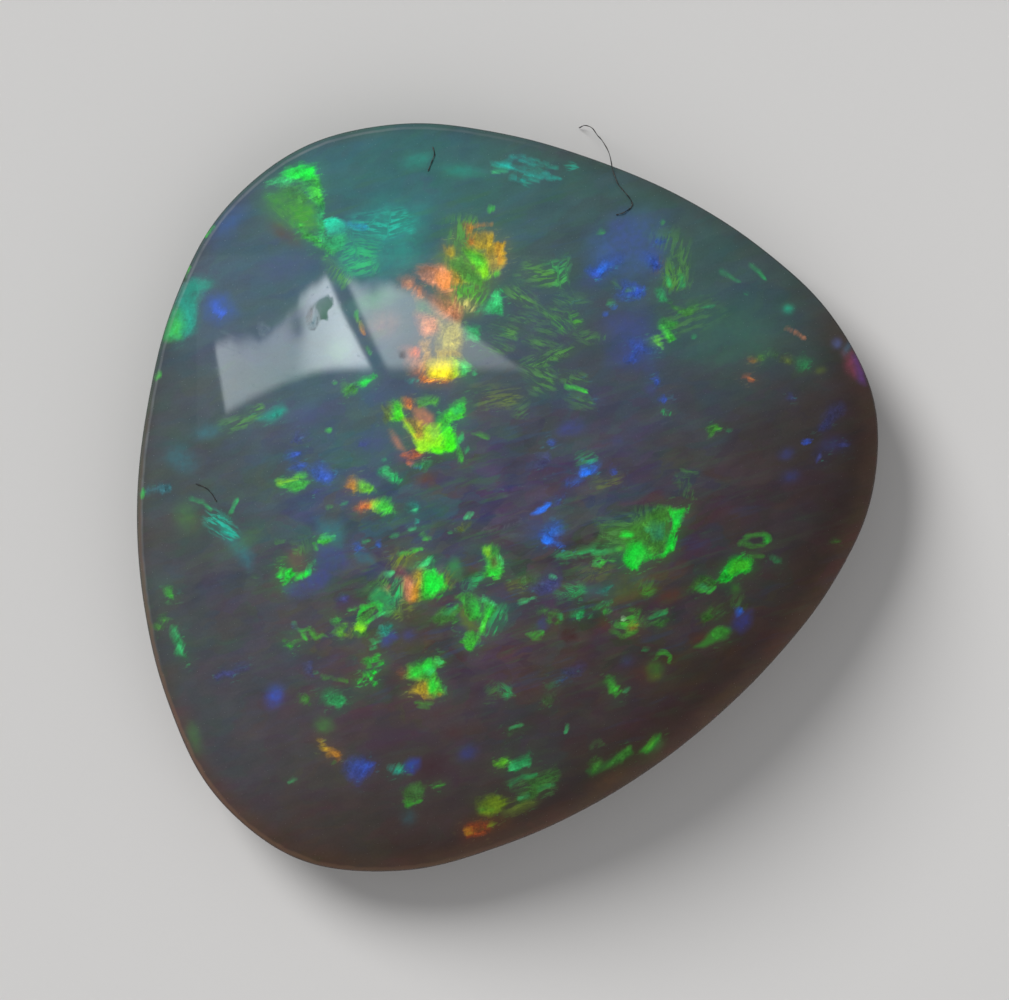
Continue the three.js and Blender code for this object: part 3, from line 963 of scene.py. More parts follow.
flash(AMBER, 85, (-342, -476), (-330, -481), (-319, -486), (-320, -498), (-330, -493), (-344, -484),
    grain=-30)
fleck(MOSS, 45, -331, -503, 10, 5)
streak(MINT, 30, (-417, -542), (-405, -537))
fleck(FERN, 45, -480, -153, 14, 10, 0, flashes, 6)

# %% The cells
feather(FERN, 75, (-265, -175), (-250, -162), (-235, -148), (-225, -160), (-240, -170), (-255, -180))
haze(JADE, 50, (-260, -190), (-245, -175), (-230, -175), (-222, -190), (-222, -205), (-215, -220),
    (-235, -224), (-243, -210), (-252, -202), soft=6)
streak(JADE, 60, (-260, -190), (-246, -176), (-230, -174), (-223, -188))
streak(MINT, 60, (-228, -146), (-217, -143))
feather(JADE, 90, (-216, -158), (-203, -156), (-200, -180), (-208, -195), (-217, -185), grain=75)
feather(JADE, 80, (-222, -190), (-210, -195), (-212, -215), (-225, -222), grain=60)
fleck(SALMON, 50, -227, -172, 10, 7, 60)
feather(OLIVE, 95, (-224, -212), (-205, -210), (-206, -226), (-220, -226))
flash(MOSS, 80, (-285, -222), (-276, -210), (-260, -202), (-248, -199), (-241, -207), (-242, -216),
    (-255, -226), (-270, -238), (-280, -245), (-288, -236), grain=35)
streak(EMERALD, 75, (-286, -225), (-276, -212), (-260, -204), (-248, -200), (-242, -208), width=5.5)
streak(EMERALD, 90, (-242, -215), (-255, -227), (-270, -238), (-278, -242), width=6.5)
streak(MINT, 70, (-236, -220), (-250, -226))
spark(LIME, 95, (-291, -242), (-280, -237), (-270, -240), (-270, -248), (-278, -254), (-289, -250), grain=10)
flash(MOSS, 70, (-292, -250), (-270, -248), (-268, -262), (-286, -264), soft=8)
flash(TEAL, 95, (-245, -256), (-241, -247), (-230, -243), (-218, -242), (-217, -248), (-228, -256),
    (-240, -263), grain=30)
flash(JADE, 75, (-257, -273), (-242, -269), (-241, -276), (-252, -278), grain=5)
streak(JADE, 50, (-260, -286), (-250, -283))
haze(INDIGO, 80, (-240, -272), (-230, -260), (-215, -255), (-208, -265), (-228, -280), (-238, -282), soft=8)
glow(INDIGO, 40, -188, -262, 25, 20)

# %% The flame shard
glow(OLIVE, 50, -180, -120, 70, 30)
feather(OLIVE, 90, (-225, -112), (-205, -105), (-180, -105), (-190, -120), (-210, -135), (-220, -130),
    grain=25)
streak(LEAF, 75, (-206, -106), (-190, -105), (-175, -100), (-162, -98))
flash(ROSE, 75, (-211, -136), (-197, -134), (-194, -150), (-210, -153), soft=8)
flash(SALMON, 85, (-198, -150), (-185, -152), (-174, -170), (-174, -195), (-185, -202), (-195, -190),
    (-198, -170), grain=70)
flash(GOLD, 95, (-178, -136), (-160, -136), (-160, -160), (-168, -190), (-182, -197), (-182, -175),
    (-176, -160), grain=80)
spark(AMBER, 75, (-184, -170), (-173, -162), (-170, -180), (-178, -196), (-186, -188), grain=75)
flash(EMERALD, 100, (-164, -136), (-145, -132), (-132, -142), (-120, -152), (-113, -170), (-128, -183),
    (-145, -190), (-160, -195), (-168, -175), soft=5, grain=50)
spark(EMERALD, 90, (-158, -146), (-142, -142), (-122, -162), (-130, -177), (-156, -180), grain=45)
flash(MOSS, 85, (-164, -182), (-140, -182), (-126, -180), (-136, -190), (-155, -191), (-172, -199), grain=20)
flash(JADE, 92, (-186, -136), (-166, -122), (-150, -114), (-140, -117), (-146, -130), (-160, -137), grain=40)
spark(MINT, 60, (-166, -130), (-150, -116), (-142, -118), (-150, -130), grain=48)
feather(OLIVE, 85, (-127, -150), (-112, -145), (-110, -168), (-122, -174), grain=60)
haze(SMOKE, 45, (-136, -130), (-122, -125), (-120, -145), (-133, -150), soft=6)
feather(OLIVE, 80, (-200, -198), (-183, -197), (-184, -215), (-200, -212))

# %% Round greens beside the flame
haze(seen(60, 150, 80), 45, (-113, -130), (-105, -114), (-95, -116), (-86, -135), (-90, -155), (-108, -150),
    soft=9)
glow(RUST, 45, -60, -135, 30, 20)
feather(JADE, 80, (-80, -166), (-65, -155), (-48, -149), (-55, -160), (-70, -171), grain=25)
flash(LEAF, 85, (-46, -98), (-35, -94), (-21, -94), (-17, -110), (-9, -117), (-7, -128), (-13, -146),
    (-20, -151), (-35, -154), (-48, -149), (-43, -140), (-40, -120), grain=70)
spark(UMBER, 92, (-34, -113), (-22, -112), (-17, -125), (-24, -137), (-35, -133), soft=5)
spark(LIME, 75, (-44, -99), (-36, -97), (-32, -112), (-38, -112), grain=70)
spark(EMERALD, 80, (-36, -136), (-14, -136), (-20, -149), (-36, -150), grain=15)
streak(MINT, 75, (-15, -114), (-10, -120), (-10, -130))
flash(LEAF, 85, (-95, -190), (-85, -183), (-70, -185), (-56, -190), (-50, -205), (-50, -230), (-60, -236),
    (-75, -230), (-80, -215), (-86, -200), soft=6)
spark(EMERALD, 55, (-68, -200), (-55, -200), (-53, -222), (-64, -225), soft=8)
flash(LEAF, 90, (-46, -193), (-35, -195), (-25, -205), (-20, -210), (-30, -225), (-38, -240), (-43, -255),
    (-53, -260), (-52, -230), (-47, -210))
streak(MINT, 80, (-46, -193), (-36, -198), (-22, -204))
spark(EMERALD, 55, (-38, -208), (-27, -210), (-36, -228), (-42, -222))
feather(JADE, 55, (-33, -214), (-3, -208), (-3, -235), (-18, -256), (-40, -262), soft=10, grain=65)
flash(MOSS, 75, (-142, -230), (-125, -215), (-110, -208), (-95, -202), (-88, -210), (-96, -235),
    (-115, -240), (-135, -238), soft=6, grain=40)
spark(JADE, 70, (-120, -220), (-105, -208), (-94, -202), (-95, -210), (-110, -222), grain=40)
haze(OLIVE, 70, (-97, -205), (-80, -205), (-60, -235), (-50, -250), (-70, -255), (-85, -240), soft=10)
flash(LEAF, 100, (-89, -275), (-78, -260), (-65, -255), (-55, -262), (-53, -275), (-60, -284), (-70, -290),
    (-80, -282), soft=5)
glow(UMBER, 50, -115, -195, 50, 15)
streak(MINT, 75, (-80, -38), (-72, -29))
streak(MINT, 65, (-75, -38), (-68, -30))
flash(OLIVE, 85, (-96, -60), (-85, -52), (-74, -48), (-78, -58), (-88, -66), soft=6)
fleck(JADE, 65, -109, -67, 10, 5, 30)
print("strokes so far:", feathers.count + flashes.count + sparks.count)

# %% [markdown]
# ## The great green at the right
# The largest flash is a broken plate: a dull striped middle, a bright right-hand wall, and a core at its
# lower left that is the purest green of the stone.

# %% The broken plate
glow(MOSS, 35, 220, -80, 90, 60)
haze(seen(72, 128, 58), 80, (185, -60), (230, -55), (272, -30), (310, -25), (310, -70), (295, -105),
    (270, -110), (230, -100), soft=10)
feather(FERN, 85, (172, -45), (210, -50), (230, -62), (228, -98), (195, -95), (180, -72), grain=-40)
feather(FERN, 75, (182, -60), (210, -42), (250, -30), (272, -23), (266, -42), (235, -58), (195, -68))
flash(MOSS, 72, (265, -38), (288, -17), (310, -17), (310, -40), (300, -55), (300, -98), (285, -110),
    (268, -108), (255, -86), (222, -85), (212, -72), (225, -60), (250, -50), grain=88)
spark(TEAL, 35, (272, -50), (297, -49), (295, -78), (278, -78), soft=12, grain=85)
fleck(MINT, 75, 268, -61, 8, 10, 60)
flash(EMERALD, 100, (316, -26), (342, -20), (332, -34), (325, -55), (320, -75), (315, -100), (300, -112),
    (280, -116), (280, -110), (296, -104), (305, -90), (310, -65), (314, -42), soft=4, grain=78)
spark(EMERALD, 95, (306, -25), (320, -23), (340, -22), (328, -34), (324, -55), (316, -60), (312, -35),
    soft=5, grain=75)
spark(EMERALD, 90, (310, -72), (317, -74), (312, -97), (302, -106), (306, -90), grain=75)
streak(JADE, 70, (324, -36), (334, -40))
spark(EMERALD, 85, (214, -73), (225, -67), (238, -69), (234, -76), (220, -78), grain=0)
flash(EMERALD, 100, (224, -100), (230, -84), (240, -77), (255, -82), (266, -92), (278, -114), (266, -120),
    (254, -126), (248, -137), (238, -140), (227, -130), (220, -118), soft=5, grain=50)
spark(EMERALD, 100, (224, -114), (236, -90), (256, -90), (270, -110), (252, -120), (246, -135), (236, -136),
    (228, -128))
streak(NIGHT, 55, (225, -118), (233, -126))
streak(LEAF, 60, (200, -100), (215, -97))
for x in (242, 250, 258):
    streak(FERN, 45, (x, -118), (x + 12, -106))

# %% Curls and streaks left of the plate
feather(JADE, 75, (100, -110), (127, -105), (130, -110), (105, -113), grain=5)
streak(JADE, 70, (108, -112), (135, -107), (160, -100))
streak(JADE, 60, (160, -109), (185, -104), (203, -100))
feather(JADE, 70, (145, -103), (165, -96), (188, -95), (180, -101), (155, -105), grain=8)
feather(FERN, 65, (125, -102), (160, -98), (200, -98), (200, -108), (150, -110), grain=5)
streak(LEAF, 100, (166, -128), (165, -119), (173, -116), (180, -122), (175, -131), width=6)
fleck(MINT, 90, 167, -125, 5, 5)
fleck(LEAF, 50, 200, -120, 7, 6)
feather(OLIVE, 35, (135, -135), (175, -128), (200, -130), (195, -148), (140, -155), soft=15, grain=8)
glow(OLIVE, 35, 230, -170, 90, 60)
feather(JADE, 75, (100, -185), (115, -172), (140, -166), (145, -178), (120, -187), grain=12)
flash(JADE, 70, (127, -187), (135, -179), (144, -177), (140, -184), grain=30)
haze(LAGOON, 50, (145, -172), (175, -170), (180, -180), (150, -182), soft=16)
flash(TEAL, 70, (175, -180), (185, -172), (198, -167), (196, -176), (185, -184), grain=20)
flash(JADE, 75, (164, -210), (180, -202), (196, -199), (190, -206), (175, -213), grain=18)
flash(LEAF, 85, (176, -215), (187, -211), (193, -215), (185, -221), grain=10)
fleck(JADE, 50, 157, -227, 9, 6, 45)
flash(JADE, 92, (119, -222), (130, -217), (144, -212), (146, -220), (138, -226), (125, -229), grain=10)
fleck(JADE, 70, 101, -227, 8, 14, 0)
feather(MOSS, 70, (248, -170), (272, -166), (276, -180), (260, -188), grain=70)
haze(PLUM, 80, (259, -210), (270, -195), (292, -193), (294, -210), (280, -230), (265, -230), soft=12)
glow(RUST, 65, 308, -188, 60, 32)

# %% The long shard at the far right
flash(MOSS, 85, (350, -174), (358, -158), (372, -152), (390, -153), (398, -160), (390, -175), (376, -181),
    (360, -178), soft=6, grain=10)
streak(LEAF, 85, (362, -173), (372, -179), (384, -179), (393, -170))
streak(MINT, 55, (370, -168), (380, -172))
flash(EMERALD, 100, (395, -155), (410, -135), (425, -119), (440, -111), (456, -111), (466, -117),
    (467, -130), (460, -138), (445, -141), (435, -144), (428, -153), (422, -160), (412, -163), (400, -162),
    soft=5, grain=30)
spark(seen(74, 216, 44), 85, (418, -140), (432, -122), (450, -115), (462, -120), (460, -134), (440, -138),
    (424, -150), grain=30)
streak(MOSS, 60, (466, -112), (488, -112))
flash(JADE, 65, (502, -114), (510, -116), (519, -120), (510, -124))
streak(LEAF, 60, (443, -87), (455, -77), (472, -71), (488, -71), (498, -78))
spark(EMERALD, 100, (488, -78), (496, -77), (498, -83), (492, -88), (487, -84))
streak(MOSS, 80, (450, -88), (466, -93), (484, -92))
fleck(MOSS, 50, 623, -85, 14, 6, 0, flashes, 6)
glow(MOSS, 45, 433, -173, 20, 20)
feather(FERN, 60, (430, -190), (445, -192), (446, -208), (430, -205), grain=40)
spark(AZURE, 90, (435, -212), (442, -210), (447, -218), (439, -224), soft=7)
haze(seen(66, 74, 160), 60, (428, -245), (436, -220), (450, -220), (462, -215), (460, -240), (445, -255),
    soft=12)
flash(MOSS, 85, (369, -227), (380, -219), (387, -212), (388, -224), (380, -233), (373, -234), grain=50)
feather(FERN, 55, (395, -215), (408, -208), (412, -220), (398, -228), grain=40)
haze(seen(72, 146, 60), 90, (355, -284), (370, -274), (385, -256), (400, -246), (415, -246), (425, -253),
    (418, -268), (395, -274), (375, -284), soft=5)
flash(LEAF, 60, (388, -257), (400, -248), (417, -248), (422, -256), (410, -268), (392, -268), soft=5)
glow(RUST, 55, 365, -268, 35, 15, 30)

# %% Patches below the plate
feather(FERN, 80, (255, -242), (275, -240), (290, -226), (300, -217), (285, -219), (270, -229), grain=30)
streak(JADE, 70, (270, -230), (285, -220), (300, -218))
flash(LEAF, 60, (282, -242), (290, -234), (302, -232), (298, -242), (288, -246), grain=20)
feather(LEAF, 85, (208, -240), (220, -233), (235, -220), (247, -224), (248, -236), (235, -250), (220, -245),
    grain=50)
flash(GOLD, 50, (228, -242), (240, -236), (248, -242), (242, -251), (232, -251))
fleck(seen(190, 232, 184), 85, 220, -232, 5, 5)
streak(MOSS, 70, (198, -250), (210, -260), (218, -265), (230, -260), (246, -254))
glow(RUST, 60, 185, -245, 30, 30)
glow(PLUM, 50, 175, -268, 35, 25)
streak(LEAF, 75, (280, -310), (284, -300), (293, -295), (302, -295), (309, -303), (307, -312))
glow(RUST, 50, 260, -335, 55, 40)
glow(MOSS, 50, 280, -325, 32, 30)
glow(OLIVE, 60, 280, -342, 30, 14)
fleck(JADE, 55, 261, -290, 14, 5, 10)
glow(DUSK, 40, 227, -312, 30, 20)
flash(LEAF, 85, (186, -350), (193, -341), (201, -344), (202, -355), (210, -358), (217, -368), (206, -376),
    (197, -370), (192, -360), grain=70)
fleck(MINT, 45, 225, -368, 14, 5, 40)
flash(FERN, 70, (10, -158), (35, -147), (58, -148), (55, -162), (30, -166), soft=10, grain=10)
feather(OLIVE, 60, (5, -162), (35, -162), (30, -178), (8, -176), grain=15)
flash(INDIGO, 82, (44, -172), (60, -160), (80, -152), (100, -154), (98, -168), (80, -178), (60, -183),
    soft=13, grain=18)
streak(MINT, 45, (82, -150), (92, -153))
streak(MINT, 70, (26, -198), (40, -195))
streak(MINT, 40, (44, -192), (50, -189))
fleck(MOSS, 50, 67, -215, 17, 10, 20, flashes, 8)
streak(MOSS, 65, (78, -235), (82, -224), (95, -220), (103, -228), (95, -237), width=8, soft=6, layer=flashes)
glow(INDIGO, 55, 66, -240, 22, 25)
streak(LEAF, 90, (37, -260), (46, -258))
streak(LEAF, 95, (49, -260), (58, -258), (67, -257))
streak(MOSS, 60, (50, -267), (62, -266))
haze(seen(74, 48, 48), 75, (97, -260), (105, -245), (130, -245), (132, -268), (110, -275), soft=8)
flash(INDIGO, 80, (108, -333), (120, -327), (142, -323), (140, -331), (120, -338), soft=13, grain=10)
print("strokes so far:", feathers.count + flashes.count + sparks.count)

# %% [markdown]
# ## The lowest rows
# Towards the lower rim the flashes lie in long, low rows. The last one ends in orange, the widest packing of
# the spheres, in the only warm glow on this side.

# %% The green and yellow plate at the lower left
flash(LEAF, 92, (-196, -340), (-186, -322), (-170, -317), (-155, -308), (-140, -308), (-122, -310),
    (-126, -318), (-136, -322), (-136, -334), (-126, -356), (-120, -370), (-130, -376), (-142, -382),
    (-152, -380), (-154, -350), (-170, -346), (-185, -346), grain=40)
flash(YELLOW, 85, (-186, -371), (-170, -356), (-160, -350), (-150, -350), (-147, -366), (-144, -376),
    (-160, -376))
spark(EMERALD, 90, (-162, -320), (-150, -310), (-140, -312), (-138, -324), (-146, -332), (-160, -332),
    grain=45)
spark(MINT, 60, (-156, -328), (-144, -322), (-136, -330), (-148, -336), grain=45)
spark(MINT, 75, (-136, -310), (-122, -310), (-128, -316), (-138, -315), grain=5)
spark(EMERALD, 75, (-152, -350), (-140, -346), (-132, -360), (-140, -374), (-150, -372), grain=70)
spark(EMERALD, 60, (-184, -334), (-172, -324), (-164, -330), (-174, -342), grain=30)
spark(JADE, 75, (-124, -358), (-114, -362), (-113, -374), (-120, -376))
flash(AMBER, 80, (-166, -374), (-146, -374), (-146, -382), (-160, -382), grain=10)
fleck(AMBER, 75, -130, -374, 12, 6, 15)
fleck(ORANGE, 45, -200, -335, 14, 12, 0, flashes, 8)
streak(MOSS, 60, (-172, -388), (-158, -391), (-144, -392))
streak(MOSS, 40, (-166, -395), (-150, -398))
flash(BLUE, 62, (-310, -508), (-295, -497), (-275, -497), (-254, -507), (-260, -520), (-275, -535),
    (-285, -543), (-300, -530), soft=13, grain=10)
spark(BLUE, 45, (-276, -502), (-260, -508), (-262, -518), (-274, -520), soft=8)
flash(TEAL, 90, (-222, -515), (-210, -512), (-197, -511), (-196, -520), (-205, -526), (-218, -526), grain=20)
spark(MINT, 45, (-210, -510), (-200, -513), (-202, -520), (-210, -518), soft=5)
haze(seen(62, 84, 170), 85, (-196, -508), (-185, -497), (-167, -498), (-167, -512), (-180, -524),
    (-195, -520), soft=8)
fleck(MOSS, 55, -187, -525, 12, 5, 15)
flash(MOSS, 62, (-196, -555), (-182, -550), (-166, -544), (-156, -548), (-160, -565), (-166, -577),
    (-180, -581), (-191, -586), (-195, -575))
spark(FERN, 90, (-184, -552), (-162, -546), (-160, -560), (-174, -564), soft=7)
streak(LEAF, 80, (-190, -584), (-178, -580), (-164, -577))
flash(LEAF, 70, (-142, -549), (-126, -542), (-120, -544), (-130, -549), grain=20)
glow(INDIGO, 50, -75, -485, 40, 30, 30)
glow(PLUM, 40, -220, -455, 120, 50)
glow(seen(74, 52, 58), 60, -145, -515, 70, 50)
glow(seen(84, 54, 58), 50, -100, -450, 40, 30)
glow(LAGOON, 40, -188, -608, 30, 30)

# %% Low rows of green
flash(JADE, 70, (74, -358), (85, -350), (102, -344), (100, -351), (88, -357), (78, -361), grain=15)
fleck(AZURE, 35, 102, -348, 16, 7, 15, flashes, 6)
flash(FERN, 65, (62, -392), (75, -376), (88, -374), (90, -386), (80, -396), soft=8)
feather(FERN, 75, (-36, -362), (-20, -360), (-20, -372), (-34, -373), grain=40)
feather(JADE, 80, (-16, -360), (0, -362), (9, -375), (0, -381), (-10, -372), grain=-40)
streak(FERN, 45, (-45, -390), (-25, -385), layer=feathers)
flash(FERN, 85, (-1, -442), (10, -435), (26, -431), (28, -436), (15, -443), (3, -449), grain=18)
streak(MINT, 60, (4, -440), (15, -434), (26, -434))
streak(MINT, 90, (110, -446), (112, -438), (117, -430))
streak(FERN, 55, (160, -472), (168, -463), (178, -462))
streak(FERN, 50, (172, -470), (186, -470))
flash(SPRING, 90, (-25, -503), (-12, -497), (0, -493), (2, -505), (-8, -513), (-20, -512), soft=5, grain=20)
flash(JADE, 97, (3, -502), (20, -498), (30, -491), (42, -486), (46, -498), (42, -510), (25, -512),
    (15, -520), (2, -520), soft=5, grain=40)
spark(MINT, 70, (3, -514), (10, -505), (20, -505), (18, -514), (6, -518), grain=30)
spark(MINT, 60, (30, -506), (42, -502), (42, -510), (30, -511), grain=10)
feather(FERN, 75, (5, -547), (25, -532), (50, -528), (75, -522), (90, -518), (92, -540), (85, -557),
    (70, -566), (50, -564), (30, -560), grain=18)
flash(MOSS, 50, (50, -528), (70, -524), (92, -518), (93, -536), (70, -544), (50, -550), (36, -542), soft=6,
    grain=20)
streak(JADE, 70, (6, -544), (25, -533), (40, -531), (56, -526))
streak(JADE, 55, (60, -555), (75, -548), (88, -546))
flash(MOSS, 62, (20, -562), (50, -550), (74, -546), (50, -572), (20, -580), soft=8, grain=20)
streak(MINT, 45, (22, -572), (38, -567))
flash(seen(118, 148, 26), 85, (-60, -578), (-40, -569), (-20, -568), (-2, -573), (-6, -590), (-14, -601),
    (-35, -605), (-50, -600), (-56, -588), soft=8, grain=15)
spark(seen(136, 172, 30), 55, (-50, -580), (-30, -572), (-8, -576), (-14, -594), (-40, -598), soft=10,
    grain=15)
streak(LEAF, 55, (-50, -593), (-38, -590), (-30, -593))
glow(OLIVE, 75, 28, -589, 60, 16, 20)
feather(OLIVE, 90, (-5, -580), (30, -578), (50, -580), (30, -596), (-5, -598), grain=18)
glow(seen(104, 72, 44), 75, -35, -620, 100, 40, 8)
flash(seen(206, 92, 36), 92, (-82, -632), (-70, -621), (-50, -618), (-30, -620), (-42, -636), (-60, -644),
    (-78, -648), grain=10)
spark(LIME, 70, (-38, -626), (-30, -620), (-21, -619), (-28, -625), grain=15)
streak(GOLD, 60, (-80, -633), (-70, -631))
streak(GOLD, 60, (-78, -640), (-68, -638))
streak(UMBER, 60, (-62, -635), (-48, -630))

# %% Along the lower right rim
flash(MOSS, 85, (154, -508), (170, -496), (182, -500), (176, -516), (165, -522), grain=40)
haze(seen(60, 124, 56), 75, (150, -518), (190, -502), (232, -474), (238, -486), (195, -512), (160, -528),
    soft=6)
haze(seen(64, 150, 50), 80, (250, -484), (270, -466), (290, -450), (290, -460), (270, -482), soft=5)
flash(MOSS, 100, (186, -512), (195, -503), (210, -490), (220, -485), (232, -476), (236, -485), (220, -496),
    (205, -506), grain=35)
for shift in (0, 10, 20):
    streak(MOSS, 60, (198 + shift, -502 + shift * 0.7), (214 + shift, -486 + shift * 0.6))
flash(LEAF, 100, (258, -482), (270, -470), (278, -457), (286, -454), (280, -470), (274, -479), (265, -483),
    grain=45)
streak(SPRING, 65, (264, -478), (272, -469), (278, -460))
glow(FERN, 40, 285, -470, 30, 20, 40)
glow(seen(106, 74, 46), 45, 195, -538, 70, 28, 32)
print("strokes in all:", feathers.count + flashes.count + sparks.count)

# %% [markdown]
# ## Painted reflections in the mirrored window
# Where the dome mirrors the window, dark things that stand before the window break its reflection, and we
# paint
# their mirror images into the colour: a painted reflection. The patches are also rough, so that the window
# card isn't mirrored over them, and so we keep their outline for the roughness as well as for the colour.

# %% Painted reflections of things before the window, and a chip in the rim
# Painted reflection: the dark patches below are mirror images of things before the window, put into the
# colour.
film = Inlay()
lay_patch(film, seen(22, 72, 52), 100, in_mm(
    [(-341, 385), (-336, 378), (-333, 380), (-331, 363), (-336, 360), (-342, 354), (-341, 335),
     (-349, 338), (-357, 337), (-360, 350), (-366, 358), (-371, 362), (-356, 378)]), 3, 60)
lay_patch(film, seen(18, 58, 62), 100, in_mm([(-336, 380), (-350, 380), (-360, 366), (-344, 368)]), 5, 60)
painted_reflection_edge = [(-360, 350), (-362, 330), (-367, 320), (-375, 320), (-380, 344), (-371, 361)]
for start, stop in zip(painted_reflection_edge, painted_reflection_edge[1:]):
    streak(NIGHT, 100, start, stop, width=5.5, layer=film, soft=4)
streak(seen(50, 110, 124), 60, (-365, 348), (-368, 336), (-369, 328), width=7, layer=film, soft=4)
streak(seen(120, 92, 76), 50, (-372, 352), (-374, 338), width=6, layer=film, soft=4)
lay_patch(film, seen(40, 62, 78), 70, in_mm(
    [(-476, 330), (-468, 336), (-460, 328), (-450, 320), (-458, 317), (-464, 308), (-470, 310)]), 7, 60)
lay_patch(film, seen(62, 60, 62), 75, in_mm([(-208, 278), (-195, 280), (-193, 266), (-205, 264)]), 5, 60)
# Tints of the stone that show through the mirrored window
glow(seen(90, 160, 110), 30, -250, 375, 90, 40)
glow(seen(170, 120, 100), 25, -235, 330, 70, 50)
glow(seen(80, 120, 90), 40, -320, 275, 50, 60)
# A chip in the rim, and small glints along it
spark(NIGHT, 95, (-620, 412), (-613, 420), (-608, 415), (-614, 408), soft=4)
streak(LEAF, 70, (-574, 498), (-560, 515))
streak(LEAF, 60, (-612, 426), (-606, 436))
fleck(EMERALD, 75, -693, 6, 20, 5, 85)
fleck(LEAF, 75, -662, 232, 14, 5, 75)

# %% [markdown]
# ## Hand the painting to the mesh
# A mesh can carry numbers on its points, called attributes. Three numbers fit in one vector, so each layer
# needs two: its cut (distance, softness, strength) and its colour. Two more say how much colour has soaked
# in, where wisps of smoke drift and where the body is busy with detail, and how near the rim is.

# %% Store the painting on the points
def keep(name, values):
    """Keep three numbers per point of the stone under a name that the shader can read."""
    attribute = mesh.attributes.new(name, "FLOAT_VECTOR", "POINT")
    attribute.data.foreach_set("vector", np.ascontiguousarray(values, dtype=np.float32).ravel())


def off_oval(x, y, half_length, half_width):
    """How far each point lies from the middle of an oval, as 1 on its edge."""
    return np.hypot((plan[:, 0] - x) / half_length, (plan[:, 1] - y) / half_width)


keep("tone", tone)
keep("deep", deep_colour)
off_middle = off_oval(-0.1, -1.2, 4.6, 2.9)
off_top = off_oval(-1.5, 5.3, 3.2, 1.2)
busy = 0.30 + 0.70 * np.exp(-(off_middle**3))
wispy = np.exp(-(off_middle**2)) + 0.7 * np.exp(-(off_top**2))
keep("depth", np.column_stack([deep_share, wispy, busy]))
keep("grain", grain_coordinates)
keep("shore", np.column_stack([shore, facing(145), facing(225)]))
for name, layer in [("feather", feathers), ("flash", flashes), ("spark", sparks), ("film", film)]:
    cut, colour = layer.settled()
    keep(name + "_cut", cut)
    keep(name + "_colour", colour)
print("attributes:", [attribute.name for attribute in mesh.attributes])

# %% [markdown]
# ## Shader maths that reads like maths
# A material is a web of nodes, and a sum of masks soon takes dozens of them. This small class holds one
# output of a node. Adding or multiplying it makes the Math node, so we can write 1 - mask and read it again
# later. Colours go through Mix and Vector Math, because a Math node would turn them grey.

